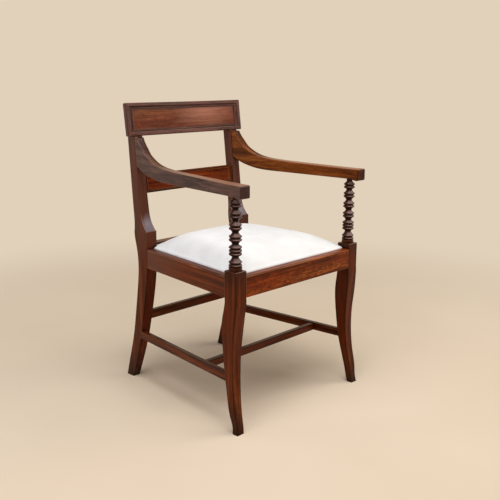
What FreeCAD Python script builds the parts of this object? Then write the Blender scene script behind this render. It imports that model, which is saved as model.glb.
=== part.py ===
import FreeCAD, Part
import math
import os

# A mahogany carver chair with sabre legs, ring-turned arm supports, a panelled crest
# and a drop-in seat. All lengths are in millimetres.
# X runs across the chair with the middle plane at zero, the chair faces -Y, +Z is up.
# The origin is on the floor, under the middle of the chair's overall box.

V = FreeCAD.Vector
X_AXIS = V(1, 0, 0)
Y_AXIS = V(0, 1, 0)
Z_AXIS = V(0, 0, 1)

# Heights of the main levels
crest_top_height = 860.0
seat_rail_top = 431.5
seat_rail_bottom = 374.0
stretcher_top = 164.0

# Distances from front to back, taken from the front face of the front legs' blocks
leg_spacing = 420.5
back_foot_rake = 94.0
back_foot_depth = 33.5
arm_overhang = 17.0

# Front legs: a square block at the rails, a turned arm support above, a sabre leg below
front_block_half_span = 257.5
front_block_width = 39.0
front_block_depth = 43.5
front_block_top = 447.0
front_block_easing = 1.6
front_block_top_easing = 1.4
front_foot_spread = 6.5
front_leg_sweep = 24.3
# Height above the floor, forward sweep, depth, width and outward splay, as shares of the
# rails' height, the sweep, the block's depth, the block's width and the feet's spread
front_leg_section_shares = (
    (1.00, 0.00, 1.000, 1.000, 0.00),
    (0.93, 0.00, 1.020, 1.000, 0.12),
    (0.84, -0.13, 1.085, 0.990, 0.40),
    (0.76, -0.26, 1.060, 0.970, 0.48),
    (0.67, -0.40, 0.950, 0.905, 0.32),
    (0.54, -0.49, 0.805, 0.835, 0.24),
    (0.40, -0.42, 0.690, 0.780, 0.31),
    (0.26, -0.18, 0.580, 0.735, 0.70),
    (0.13, 0.16, 0.505, 0.685, 0.95),
    (0.00, 0.51, 0.465, 0.635, 1.00),
)

# Turned arm support, from the block's top to the arm
turning_lip_radius = 17.7
turning_lip_radius_top = 16.2
turning_neck_radius = 9.6
turning_neck_radius_top = 8.7
turning_lip_round = 3.2
turning_lip_pitch = 9.0
turning_neck_length = 3.0
turning_base_height = 9.5
turning_base_cluster = 35.5
turning_triple_cluster = 35.5
turning_double_cluster = 30.0
turning_top_cluster = 25.5
turning_double_count = 3
turning_double_lips = 2
turning_triple_lips = 3
arm_tenon_radius = 8.0
arm_tenon_length = 17.0

# Back legs: sabre below the seat, a square block at the rails, a scooped stile above
back_leg_set_in = 42.7
back_leg_width = 37.0
back_leg_depth = 44.3
back_block_depth = 52.5
back_leg_easing = 1.6
back_foot_set_in = 4.0
shoulder_height = 484.0
shoulder_depth = 61.0
shoulder_ledge = 2.6
# Height above the floor, rake, depth and width, as shares of the rails' height,
# of the foot's rake, of the leg's depth and of the leg's width
back_leg_section_shares = (
    (0.000, 1.000, 0.756, 0.650),
    (0.107, 0.834, 0.840, 0.690),
    (0.241, 0.653, 0.872, 0.760),
    (0.401, 0.474, 0.876, 0.850),
    (0.561, 0.343, 0.880, 0.935),
    (0.722, 0.215, 0.910, 0.990),
    (0.882, 0.092, 0.955, 1.000),
    (1.000, 0.030, 1.000, 1.000),
)
stile_depth = 33.4
stile_width = 30.5
stile_top_set_in = 4.6
stile_lean_degrees = 5.6
stile_foot_set_back = 24.5
stile_head_drop = 12.0
scoop_height = 62.0
scoop_power = 3
stile_taper_height = 150.0
stile_bead_width = 5.0
stile_hollow_depth = 2.4
stile_bead_crown_share = 0.4
stile_bead_flank_share = 0.55
stile_bead_rim_share = 0.35
stile_scoop_shares = (0.0, 0.12, 0.27, 0.45, 0.70, 1.0)
stile_upper_shares = (1.0, 1.6, 2.4)

# Crest: a thin curved tablet lapped onto the stiles
crest_height = 96.0
crest_end_overhang = 21.8
crest_lean_degrees = 7.0
crest_curve_rise = 8.0
crest_stand_forward = 1.05
crest_board_thickness = 8.6
crest_frame_height = 20.0
crest_frame_end_width = 29.5
crest_frame_thickness = 4.2
crest_corner_radius = 4.5
crest_edge_round = 2.4
crest_veneer_thickness = 1.1
# Where along an edge it is tested, and how close to its place it has to lie
edge_test_shares = (0.1, 0.5, 0.9)
edge_test_slack_share = 0.01

# Middle rail between the stiles, panelled like the crest
mid_rail_drop = 170.5
mid_rail_height = 56.0
mid_rail_set_back = 7.0
mid_rail_curve_rise = 4.0
mid_rail_board_thickness = 14.0
mid_rail_frame_height = 8.5
mid_rail_frame_end_width = 14.0
mid_rail_frame_thickness = 2.6
mid_rail_edge_round = 1.2
mid_rail_veneer_thickness = 1.0
mid_rail_end_overlap = 1.5
mid_rail_moulding_gap = 0.15
mid_rail_tenon_length = 12.0
mid_rail_tenon_height = 36.0
mid_rail_tenon_thickness = 7.0
mid_rail_tenon_inset = 3.5

# The frame moulding's section, from its outer edge to the panel, in shares of its width
# and of its thickness
moulding_section_shares = (
    (0.46, 1.00),
    (0.50, 0.62),
    (0.66, 0.42),
    (0.72, 0.80),
    (0.76, 0.92),
    (0.82, 0.92),
    (0.86, 0.80),
    (0.90, 0.36),
    (1.00, 0.36),
)
moulding_swing_share = 1.02

# Arms: sawn planks swept up to the stiles, overhanging the turned supports
arm_front_overhang = 3.0
arm_front_width = 38.0
arm_back_set_in = 2.7
arm_back_width = 25.0
arm_back_drop = 3.5
arm_back_depth = 84.5
arm_front_top = 672.2
arm_front_drop = 30.1
arm_nose_drop = 4.2
arm_nose_length = 7.0
arm_nose_sweep = 21.0
arm_hand_round = 4.5
arm_outer_round = 1.5
arm_back_facet = 13.0
arm_hollow_depth = 2.6
arm_hollow_margin = 5.0
# Place along the arm from its front end, and height above the arm's level top or bottom,
# as shares of the arm's length and of the rise to the stile
arm_top_shares = (
    (0.955, 0.831),
    (0.930, 0.674),
    (0.897, 0.480),
    (0.856, 0.335),
    (0.795, 0.193),
    (0.713, 0.105),
    (0.589, 0.059),
    (0.425, 0.036),
    (0.240, 0.014),
    (0.090, 0.002),
)
arm_bottom_shares = (
    (0.992, 1.000),
    (0.969, 0.840),
    (0.938, 0.650),
    (0.897, 0.440),
    (0.856, 0.284),
    (0.795, 0.120),
    (0.733, 0.034),
    (0.651, 0.000),
)
# Depth of the hollow along the arm's top, from the stile forwards
arm_hollow_shares = (1.0, 1.0, 1.0, 1.0, 0.9, 0.5, 0.0)

# Screws: through the stiles into the arms, under plugs, and into the crest
screw_slot_width = 1.0
screw_slot_depth = 0.9
screw_tip_share = 0.25
arm_screw_radius = 2.4
arm_screw_length = 46.0
arm_screw_head_radius = 4.6
arm_screw_head_height = 3.0
arm_screw_rise = 15.0
arm_screw_spacing = 35.0
arm_screw_sinking = 6.0
arm_plug_radius = 5.0
crest_screw_radius = 2.0
crest_screw_length = 22.0
crest_screw_head_radius = 4.0
crest_screw_head_height = 2.6
crest_screw_rise = 21.0
crest_screw_spacing = 42.0
crest_screw_sinking = 2.0

# Seat rails
rail_set_in = 0.8
rail_lip_width = 22.0
rail_ledge_width = 12.0
rail_rebate_depth = 18.0
rail_bead_radius = 3.4
rail_bead_quirk = 0.8
rail_end_overlap = 3.0
back_rail_top = 444.0
back_rail_lip_width = 30.0
back_rail_lip_set_back = 15.5
rail_tenon_thickness = 10.0
rail_tenon_length = 21.0
rail_tenon_bottom_shoulder = 5.0
rail_tenon_height = 28.0
front_tenon_inset = 9.0
side_tenon_inset = 14.0
back_tenon_inset = 12.0

# Corner blocks glued inside the rails, each with two screws into its leg
corner_block_reach = 46.0
corner_block_height = 30.0
corner_block_drop = 2.0
corner_screw_margin = 8.0
corner_screw_radius = 2.2
corner_screw_length = 42.0
corner_screw_head_radius = 4.4
corner_screw_head_height = 2.8

# Stretchers
stretcher_thickness = 15.0
stretcher_height = 24.5
stretcher_set_in = 1.6
stretcher_easing = 1.4
stretcher_tenon_thickness = 7.0
stretcher_tenon_height = 15.0
stretcher_tenon_length = 14.0
cross_stretcher_set_back = 140.5
cross_stretcher_top = 161.5
cross_stretcher_height = 22.0
cross_tenon_length = 7.0
rear_stretcher_set_back = 460.0
rear_stretcher_top = 225.6
rear_stretcher_height = 27.4

# Drop-in seat
seat_gap = 2.5
seat_rest_gap = 0.3
seat_frame_thickness = 18.0
seat_frame_front_width = 55.0
seat_frame_back_width = 48.0
seat_frame_side_width = 46.0
seat_frame_tongue_length = 18.0
seat_frame_tongue_thickness = 7.0
seat_frame_tongue_margin = 8.0
webbing_width = 50.0
webbing_thickness = 1.5
webbing_landing = 14.0
webbing_ramp = 12.0
webbing_count = 4
webbing_lengthwise_spacing = 76.0
webbing_crosswise_spacing = 74.0
hessian_thickness = 0.8
hessian_inset = 9.0
cover_thickness = 1.0
cover_hem_width = 22.0
seat_crown_rise = 52.0
seat_crown_reach = 150.0
seat_crown_steps = 8
seat_corner_radius = 66.0
seat_cap_round_share = 0.42
tack_head_radius = 3.0
tack_head_height = 0.6
tack_shank_radius = 0.8
tack_shank_length = 8.0
tack_inset = 16.0
tack_spacing = 38.0

# One overrun for every cut that runs out of a piece
overrun = 30.0

# Places worked out from the sizes above
front_foot_half_span = front_block_half_span + front_foot_spread
back_leg_half_span = front_block_half_span - back_leg_set_in
back_foot_half_span = back_leg_half_span - back_foot_set_in
stile_top_half_span = back_leg_half_span - stile_top_set_in
crest_half_span = stile_top_half_span + crest_end_overhang
crest_bottom_height = crest_top_height - crest_height
mid_rail_bottom = crest_bottom_height - mid_rail_drop
arm_front_half_span = front_block_half_span + arm_front_overhang
arm_back_half_span = stile_top_half_span - arm_back_set_in
arm_back_height = crest_bottom_height - arm_back_drop
overall_depth = arm_overhang + leg_spacing + back_foot_rake + back_foot_depth
front_y = -overall_depth / 2 + arm_overhang
back_y = front_y + leg_spacing
arm_underside = arm_front_top - arm_front_drop
block_inner_x = front_block_half_span - front_block_width
back_leg_inner_x = back_leg_half_span - back_leg_width
ledge_height = seat_rail_top - rail_rebate_depth
post_x = front_block_half_span - front_block_width / 2
post_y = front_y + front_block_depth / 2
rail_width = rail_lip_width + rail_ledge_width
rail_front_x = front_block_half_span - rail_set_in
rail_front_y = front_y + front_block_depth
rail_back_x = back_leg_half_span - rail_set_in
rail_splay = math.atan((rail_front_x - rail_back_x) / (back_y - rail_front_y))
front_lip_y = front_y + rail_set_in + rail_lip_width
back_lip_y = back_y + back_rail_lip_set_back
tenon_bottom = seat_rail_bottom + rail_tenon_bottom_shoulder
stile_slope = math.tan(math.radians(stile_lean_degrees))
seat_hem_bottom = ledge_height + seat_rest_gap
seat_frame_bottom = seat_hem_bottom + cover_thickness
seat_frame_top = seat_frame_bottom + seat_frame_thickness
seat_stack_top = seat_frame_top + webbing_thickness * 2 + hessian_thickness


def between(low, high, share):
    return low + (high - low) * share


def box(x0, x1, y0, y1, z0, z1):
    return Part.makeBox(x1 - x0, y1 - y0, z1 - z0, V(x0, y0, z0))


def polygon(points):
    return Part.Face(Part.makePolygon(list(points) + [points[0]]))


def without(shape, others):
    for other in others:
        shape = shape.cut(other)
    return shape


def tenon_ends(bar, carriers):
    # The parts of a bar that lie inside the pieces it is tenoned into.
    ends = [bar.common(carrier) for carrier in carriers]
    return [end for end in ends if end.Volume > 0]


def mirrored(shape):
    return shape.mirror(V(0, 0, 0), X_AXIS)


def arc(start, middle, end):
    return Part.Arc(start, middle, end).toShape()


def line(start, end):
    return Part.LineSegment(start, end).toShape()


def curve(points):
    spline = Part.BSplineCurve()
    spline.interpolate(points)
    return spline.toShape()


def ogee(start, end):
    # Two equal arcs that leave start and reach end level, in a plane seen from the side.
    run, drop = end.y - start.y, start.z - end.z
    radius = (run ** 2 + drop ** 2) / (4 * drop)
    quarter_turn = math.asin(run / (2 * radius)) / 2
    bend = V(0, radius * math.sin(quarter_turn), -radius * (1 - math.cos(quarter_turn)))
    middle = (start + end) / 2
    return [arc(start, start + bend, middle), arc(middle, end - bend, end)]


def rounded_outline(corners, radius):
    # A flat outline whose corners are arcs, tangent to the straight runs between them.
    arcs = []
    for index, corner in enumerate(corners):
        before = (corners[index - 1] - corner).normalize()
        after = (corners[(index + 1) % len(corners)] - corner).normalize()
        half_turn = before.getAngle(after) / 2
        reach = radius / math.tan(half_turn)
        inward = (before + after).normalize()
        middle = corner + inward * (radius / math.sin(half_turn) - radius)
        arcs.append((corner + before * reach, middle, corner + after * reach))
    edges = []
    for index, points in enumerate(arcs):
        edges.append(arc(*points))
        edges.append(line(points[2], arcs[(index + 1) % len(arcs)][0]))
    return Part.Wire(edges)


def rounded_rectangle(x0, x1, y0, y1, z, radius):
    return rounded_outline([V(x0, y0, z), V(x1, y0, z), V(x1, y1, z), V(x0, y1, z)], radius)


def loft(wires):
    return Part.makeLoft(wires, True, False)


# Front legs

def turned_support():
    # The outline climbs from the block in clusters of rounded lips between narrow necks.
    base = front_block_top
    height = arm_underside - base

    def at(z, low, high):
        return between(low, high, (z - base) / height)

    def lip_radius(z):
        return at(z, turning_lip_radius, turning_lip_radius_top)

    def neck_radius(z):
        return at(z, turning_neck_radius, turning_neck_radius_top)

    edges = []
    last = V(0, 0, base)

    def go(point):
        nonlocal last
        edges.append(line(last, point))
        last = point

    def lip(middle):
        nonlocal last
        outer = lip_radius(middle)
        go(V(outer - turning_lip_round, 0, middle - turning_lip_round))
        top = V(outer - turning_lip_round, 0, middle + turning_lip_round)
        edges.append(arc(last, V(outer, 0, middle), top))
        last = top

    def neck(middle):
        radius = neck_radius(middle)
        go(V(radius, 0, middle - turning_neck_length / 2))
        go(V(radius, 0, middle + turning_neck_length / 2))

    go(V(lip_radius(base), 0, base))
    go(V(lip_radius(base), 0, base + turning_base_height))
    first = base + turning_base_height + turning_lip_pitch / 2
    go(V(lip_radius(first) - turning_lip_round, 0, last.z))
    lip(first)
    lip(first + turning_lip_pitch)
    level = base + turning_base_cluster
    clusters = [(turning_triple_cluster, turning_triple_lips)]
    clusters += [(turning_double_cluster, turning_double_lips)] * turning_double_count
    clusters += [(turning_top_cluster, turning_double_lips)]
    for tall, lips in clusters:
        neck(level)
        middle = level + tall / 2
        for index in range(lips):
            lip(middle + (index - (lips - 1) / 2) * turning_lip_pitch)
        level += tall
    go(V(neck_radius(level), 0, level))
    go(V(neck_radius(arm_underside), 0, arm_underside))
    go(V(arm_tenon_radius, 0, arm_underside))
    go(V(arm_tenon_radius, 0, arm_underside + arm_tenon_length))
    go(V(0, 0, last.z))
    go(V(0, 0, base))
    solid = Part.Face(Part.Wire(edges)).revolve(V(0, 0, 0), Z_AXIS, 360)
    solid.translate(V(post_x, post_y, 0))
    return solid


def front_leg():
    # The right-hand leg, before its mortises: block, sabre leg and turned support in one.
    wires = []
    for height, sweep, depth, width, splay in front_leg_section_shares:
        z = seat_rail_bottom * height
        outer = between(front_block_half_span, front_foot_half_span, splay)
        y = front_y - front_leg_sweep * sweep
        wires.append(rounded_rectangle(
            outer - front_block_width * width, outer,
            y, y + front_block_depth * depth, z, front_block_easing))
    sabre = loft(wires)
    outline = rounded_rectangle(
        block_inner_x, front_block_half_span, front_y, front_y + front_block_depth,
        seat_rail_bottom, front_block_easing)
    block = Part.Face(outline).extrude(V(0, 0, front_block_top - seat_rail_bottom))
    near_top = front_block_top - front_block_easing
    top_edges = [edge for edge in block.Edges if edge.BoundBox.ZMin > near_top]
    block = block.makeFillet(front_block_top_easing, top_edges)
    return sabre.fuse(block).fuse(turned_support()).removeSplitter()


# Back legs

def stile_front_y(z):
    # The stile's leaning front face, before the scoop.
    return back_y + stile_foot_set_back + (z - shoulder_height) * stile_slope


def fade(z, height, power):
    return max(0.0, 1 - (z - shoulder_height) / height) ** power


def stile_outer_x(z):
    climb = (z - seat_rail_top) / (crest_bottom_height - seat_rail_top)
    return between(back_leg_half_span, stile_top_half_span, climb)


def stile_inner_x(z):
    return stile_outer_x(z) - between(stile_width, back_leg_width, fade(z, stile_taper_height, 1))


def stile_section(z):
    # A level outline with a small bead on each front edge and a hollow between the beads.
    straight = stile_front_y(z)
    scoop = straight - back_y - shoulder_ledge
    front = straight - scoop * fade(z, scoop_height, scoop_power)
    swell = back_y + shoulder_depth - (straight + stile_depth)
    back = straight + stile_depth + swell * fade(z, scoop_height, 1)
    outer = stile_outer_x(z)
    inner = stile_inner_x(z)
    bead = stile_bead_width
    flank = bead * stile_bead_flank_share
    crown = bead * stile_bead_crown_share
    valley = front + stile_hollow_depth
    rim = between(front, valley, stile_bead_rim_share)
    radius = back_leg_easing
    short = radius * (1 - math.sqrt(0.5))
    middle = (inner + outer) / 2
    return Part.Wire([
        arc(V(inner, front + flank, z), V(inner + crown, front, z), V(inner + bead, rim, z)),
        arc(V(inner + bead, rim, z), V(middle, valley, z), V(outer - bead, rim, z)),
        arc(V(outer - bead, rim, z), V(outer - crown, front, z), V(outer, front + flank, z)),
        line(V(outer, front + flank, z), V(outer, back - radius, z)),
        arc(V(outer, back - radius, z), V(outer - short, back - short, z), V(outer - radius, back, z)),
        line(V(outer - radius, back, z), V(inner + radius, back, z)),
        arc(V(inner + radius, back, z), V(inner + short, back - short, z), V(inner, back - radius, z)),
        line(V(inner, back - radius, z), V(inner, front + flank, z)),
    ])


def back_leg_outer(z):
    return between(back_foot_half_span, back_leg_half_span, min(1.0, z / seat_rail_top))


def back_leg_section(z, front, depth, width):
    outer = back_leg_outer(z)
    return rounded_rectangle(
        outer - width, outer, front, front + depth, z, back_leg_easing)


def back_leg():
    # The right-hand leg, before its mortises: sabre leg, block and stile in one.
    wires = []
    for height, rake, depth, width in back_leg_section_shares:
        wires.append(back_leg_section(
            seat_rail_bottom * height, back_y + back_foot_rake * rake,
            back_leg_depth * depth, back_leg_width * width))
    wires.append(back_leg_section(seat_rail_top, back_y, back_block_depth, back_leg_width))
    wires.append(back_leg_section(shoulder_height, back_y, shoulder_depth, back_leg_width))
    sabre = loft(wires)
    low_levels = [shoulder_height + scoop_height * share for share in stile_scoop_shares]
    high_levels = [shoulder_height + scoop_height * share for share in stile_upper_shares]
    high_levels.append(crest_top_height - stile_head_drop)
    scoop = loft([stile_section(z) for z in low_levels])
    upper = Part.makeLoft([stile_section(z) for z in high_levels], True, True)
    return sabre.fuse(scoop).fuse(upper)


# Crest and middle rail, made upright at their own place and then leaned back

def chord_radius(half_span, rise):
    return (half_span ** 2 + rise ** 2) / (2 * rise)


def curved_slab(half_span, rise, start, thickness, low, high):
    # A level-curved slab, hollow towards the front, from the distance start behind the
    # front arc, which meets the ends of the span at zero.
    radius = chord_radius(half_span, rise)
    centre = rise - radius
    reach = half_span + overrun
    spread = math.asin(reach / radius)
    inner, outer = radius + start, radius + start + thickness

    def at(distance, angle):
        return V(distance * math.sin(angle), centre + distance * math.cos(angle), low)

    outline = Part.Wire([
        arc(at(inner, -spread), at(inner, 0), at(inner, spread)),
        line(at(inner, spread), at(outer, spread)),
        arc(at(outer, spread), at(outer, 0), at(outer, -spread)),
        line(at(outer, -spread), at(inner, -spread)),
    ])
    return Part.Face(outline).extrude(V(0, 0, high - low))


def front_outline(half_span, low, high, radius, depth):
    # A prism with the piece's outline in front view, long enough to cut it out of a slab.
    wire = rounded_rectangle(-half_span, half_span, low, high, 0, radius)
    prism = Part.Face(wire).extrude(V(0, 0, depth * 2))
    prism.rotate(V(0, 0, 0), X_AXIS, 90)
    prism.translate(V(0, depth, 0))
    return prism


def moulding_face(width, thickness, edge_round):
    # Section across the frame moulding: x from the outer edge inwards, y forwards (-).
    points = [V(width * share, -thickness * height, 0) for share, height in moulding_section_shares]
    short = edge_round * (1 - math.sqrt(0.5))
    edges = [
        line(V(0, 0, 0), V(0, -thickness + edge_round, 0)),
        arc(V(0, -thickness + edge_round, 0), V(short, -thickness + short, 0), V(edge_round, -thickness, 0)),
    ]
    corners = [V(edge_round, -thickness, 0)] + points + [V(width, 0, 0), V(0, 0, 0)]
    for start, end in zip(corners, corners[1:]):
        edges.append(line(start, end))
    return Part.Face(Part.Wire(edges))


def frame_mouldings(half_span, rise, low, high, frame_height, end_width, thickness, edge_round):
    # Four mitred strips planted on the board's curved front.
    radius = chord_radius(half_span, rise)
    axis_y = rise - radius
    angle = math.asin(half_span / radius)
    depth = radius
    swing = math.degrees(angle) * moulding_swing_share
    inner_x = half_span - end_width

    def clip(points):
        face = polygon([V(x, 0, z) for x, z in points])
        face.translate(V(0, -depth, 0))
        return face.extrude(V(0, depth * 2, 0))

    def long_strip(at_top):
        # The section stands on the front arc and is swung round the arc's axis.
        face = moulding_face(frame_height, thickness, edge_round)
        face.rotate(V(0, 0, 0), Y_AXIS, 90 if at_top else -90)
        face.translate(V(0, rise, high if at_top else low))
        face.rotate(V(0, axis_y, 0), Z_AXIS, -swing)
        return face.revolve(V(0, axis_y, 0), Z_AXIS, 2 * swing)

    def end_strip(side):
        # The section lies along the tangent at the board's end.
        face = moulding_face(end_width, thickness, edge_round)
        strip = face.extrude(V(0, 0, high - low))
        strip.translate(V(0, 0, low))
        if side < 0:
            strip.rotate(V(0, 0, 0), Z_AXIS, math.degrees(angle))
            strip.translate(V(-half_span, 0, 0))
            return strip
        return mirrored(end_strip(-1))

    corner = [(-half_span - overrun, low - overrun * frame_height / end_width),
              (half_span + overrun, low - overrun * frame_height / end_width),
              (half_span + overrun, high + overrun * frame_height / end_width),
              (-half_span - overrun, high + overrun * frame_height / end_width)]
    inner = [(-inner_x, low + frame_height), (inner_x, low + frame_height),
             (inner_x, high - frame_height), (-inner_x, high - frame_height)]
    bottom = long_strip(False).common(clip([corner[0], corner[1], inner[1], inner[0]]))
    top = long_strip(True).common(clip([corner[3], corner[2], inner[2], inner[3]]))
    left = end_strip(-1).common(clip([corner[0], inner[0], inner[3], corner[3]]))
    right = end_strip(1).common(clip([corner[1], inner[1], inner[2], corner[2]]))
    return {"top": top, "bottom": bottom, "left": left, "right": right}


def lean_back(shape, front_thickness, degrees, y, height):
    # Pieces are made with the board's lower front edge on the X axis. They are moved back
    # by the mouldings' thickness, leaned, and set down with the mouldings' face at y.
    shape.translate(V(0, front_thickness, 0))
    shape.rotate(V(0, 0, 0), X_AXIS, -degrees)
    shape.translate(V(0, y, height))
    return shape


def planted_frame(board, span, rise, tall, frame_height, end_width, thickness, edge_round):
    # The four mouldings. The straight ones at the ends are scribed to the board's curve.
    strips = frame_mouldings(span, rise, 0, tall, frame_height, end_width, thickness, edge_round)
    for name in ("left", "right"):
        strips[name] = strips[name].cut(board)
    return strips


def panel_veneer(span, rise, tall, frame_height, end_width, thickness, strips):
    # The thin panel inside the mouldings.
    veneer = curved_slab(span, rise, -thickness, thickness, frame_height, tall - frame_height)
    half_window = span - end_width
    veneer = veneer.common(box(-half_window, half_window, -overrun, overrun, 0, tall))
    for strip in strips.values():
        veneer = veneer.cut(strip)
    return veneer


def crest_upright_height():
    return (crest_top_height - crest_bottom_height) / math.cos(math.radians(crest_lean_degrees))


def place_crest(shape):
    y = stile_front_y(crest_bottom_height) - crest_stand_forward
    return lean_back(shape, crest_frame_thickness, crest_lean_degrees, y, crest_bottom_height)


def crest_pieces():
    tall = crest_upright_height()
    span, rise = crest_half_span, crest_curve_rise
    outline = front_outline(span, 0, tall, crest_corner_radius, overrun * 2)
    board = curved_slab(span, rise, 0, crest_board_thickness, 0, tall).common(outline)
    back_edges = [edge for edge in board.Edges if on_back(edge, span, rise, crest_board_thickness)]
    board = board.makeFillet(crest_edge_round, back_edges)
    strips = planted_frame(board, span, rise, tall, crest_frame_height, crest_frame_end_width,
                           crest_frame_thickness, crest_edge_round)
    pieces = {"crest_rail": board}
    for name, strip in strips.items():
        pieces["crest_moulding_" + name] = strip.common(outline)
    pieces["crest_panel"] = panel_veneer(span, rise, tall, crest_frame_height,
                                         crest_frame_end_width, crest_veneer_thickness, strips)
    return {name: place_crest(shape) for name, shape in pieces.items()}


def crest_rebate():
    # What is taken off the stiles' heads so that the crest laps onto them.
    rebate = curved_slab(crest_half_span, crest_curve_rise, -overrun,
                         overrun + crest_board_thickness, 0, crest_upright_height() * 2)
    return place_crest(rebate)


def on_back(edge, half_span, rise, thickness):
    # True for an edge whose points all lie on the slab's rear arc.
    radius = chord_radius(half_span, rise) + thickness
    centre = rise - chord_radius(half_span, rise)
    for share in edge_test_shares:
        point = edge.valueAt(between(edge.FirstParameter, edge.LastParameter, share))
        distance = math.hypot(point.x, point.y - centre)
        if abs(distance - radius) > thickness * edge_test_slack_share:
            return False
    return True


def place_mid_rail(shape):
    y = stile_front_y(mid_rail_bottom) + mid_rail_set_back
    return lean_back(shape, mid_rail_frame_thickness, stile_lean_degrees, y, mid_rail_bottom)


def mid_rail_span():
    # Half the rail's length before it is trimmed to the stiles.
    return stile_inner_x(mid_rail_bottom + mid_rail_height) + mid_rail_end_overlap


def mid_rail_tenon():
    # One bar through the whole rail: only its ends are used, as the two tenons.
    half = mid_rail_span() + mid_rail_tenon_length
    y = mid_rail_curve_rise / 2 + mid_rail_tenon_inset
    low = (mid_rail_height - mid_rail_tenon_height) / 2
    bar = box(-half, half, y, y + mid_rail_tenon_thickness, low, low + mid_rail_tenon_height)
    return place_mid_rail(bar)


def between_stiles(tall, depth):
    # The upright space between the two stiles that the mouldings are trimmed to.
    low = stile_inner_x(mid_rail_bottom) - mid_rail_moulding_gap
    high = stile_inner_x(mid_rail_bottom + tall) - mid_rail_moulding_gap
    face = polygon([V(-low, -depth, 0), V(low, -depth, 0), V(high, -depth, tall), V(-high, -depth, tall)])
    return face.extrude(V(0, 2 * depth, 0))


def mid_rail_pieces(legs):
    tall = mid_rail_height
    span, rise = mid_rail_span(), mid_rail_curve_rise
    board = curved_slab(span, rise, 0, mid_rail_board_thickness, 0, tall)
    board = board.common(box(-span, span, -overrun, overrun, 0, tall))
    strips = planted_frame(board, span, rise, tall, mid_rail_frame_height,
                           mid_rail_frame_end_width, mid_rail_frame_thickness,
                           mid_rail_edge_round)
    pieces = {"mid_rail_panel": panel_veneer(span, rise, tall, mid_rail_frame_height,
                                             mid_rail_frame_end_width,
                                             mid_rail_veneer_thickness, strips)}
    space = between_stiles(tall, mid_rail_board_thickness)
    for name, strip in strips.items():
        pieces["mid_rail_moulding_" + name] = strip.common(space)
    for name in pieces:
        pieces[name] = place_mid_rail(pieces[name])
    trimmed = without(place_mid_rail(board), legs)
    pieces["mid_rail"] = trimmed.fuse(tenon_ends(mid_rail_tenon(), legs))
    return pieces


# Arms

def arm_length():
    return arm_overhang + stile_front_y(arm_back_height) - front_y


def arm_point(place, height, base, rise):
    return V(0, arm_end_y() + arm_length() * place, base + rise * height)


def arm_top_points():
    # From the facet under the crest forwards along the arm's upper edge.
    rise = arm_back_height - arm_front_top
    facet_y = stile_front_y(arm_back_height) - arm_back_facet
    points = [V(0, facet_y, arm_back_height)]
    points += [arm_point(place, height, arm_front_top, rise) for place, height in arm_top_shares]
    return points


def arm_end_y():
    return front_y - arm_overhang


def arm_rear_y():
    return stile_front_y(arm_back_height) + stile_depth / 2


def arm_side_face():
    # The arm seen from the side.
    rise = arm_back_height - arm_back_depth - arm_underside
    top = arm_top_points()
    bottom = [arm_point(place, height, arm_underside, rise) for place, height in arm_bottom_shares]
    bottom.reverse()
    rear = V(0, arm_rear_y(), arm_back_height)
    low_rear = V(0, rear.y, bottom[-1].z)
    front_top = V(0, arm_end_y(), arm_front_top)
    nose = V(0, arm_end_y(), arm_underside - arm_nose_drop)
    nose_rear = nose + V(0, arm_nose_length, 0)
    level_start = V(0, nose_rear.y + arm_nose_sweep, arm_underside)
    edges = [
        line(rear, top[0]),
        curve(top),
        line(top[-1], front_top),
        line(front_top, nose),
        line(nose, nose_rear),
        *reversed(ogee(level_start, nose_rear)),
        line(level_start, bottom[0]),
        curve(bottom),
        line(bottom[-1], low_rear),
        line(low_rear, rear),
    ]
    return Part.Face(Part.Wire(edges))


def arm_inner_x(y):
    share = (y - arm_end_y()) / (arm_rear_y() - arm_end_y())
    return between(arm_front_half_span - arm_front_width, arm_back_half_span - arm_back_width, share)


def arm_plan_face(margin):
    # The arm seen from above, narrowed by a margin on both long edges.
    end_y, rear_y = arm_end_y(), arm_rear_y()
    return polygon([
        V(arm_inner_x(end_y) + margin, end_y, 0),
        V(arm_front_half_span - margin, end_y, 0),
        V(arm_back_half_span - margin, rear_y, 0),
        V(arm_inner_x(rear_y) + margin, rear_y, 0),
    ])


def arm_hand_edges(blank):
    # The edges that hands have rounded: those of the inner side and of the front end.
    slack = arm_hand_round * edge_test_slack_share
    chosen = []
    for edge in blank.Edges:
        extent = edge.BoundBox
        outer = extent.XMin > arm_front_half_span - slack
        rear = extent.YMin > arm_rear_y() - slack
        front = extent.YMax < arm_end_y() + slack
        inner = all(abs(end.X - arm_inner_x(end.Y)) < slack for end in edge.Vertexes)
        if (front or inner) and not outer and not rear:
            chosen.append(edge)
    return chosen


def arm_outer_corner(blank):
    slack = arm_hand_round * edge_test_slack_share
    return [edge for edge in blank.Edges if edge.BoundBox.XMin > arm_front_half_span - slack]


def arm_hollow():
    # The shallow channel between the beads on the arm's top, dying out forwards.
    top = arm_top_points()[:len(arm_hollow_shares)]
    floor = [V(0, p.y, p.z - arm_hollow_depth * share) for p, share in zip(top, arm_hollow_shares)]
    rear = arm_rear_y()
    ceiling = arm_back_height + overrun
    start, end = floor[0], floor[-1]
    edges = [
        line(V(0, rear, start.z), start),
        curve(floor),
        line(end, V(0, end.y, ceiling)),
        line(V(0, end.y, ceiling), V(0, rear, ceiling)),
        line(V(0, rear, ceiling), V(0, rear, start.z)),
    ]
    prism = Part.Face(Part.Wire(edges)).extrude(V(arm_front_half_span * 2, 0, 0))
    strip = arm_plan_face(arm_hollow_margin).extrude(V(0, 0, crest_top_height))
    return prism.common(strip)


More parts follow.
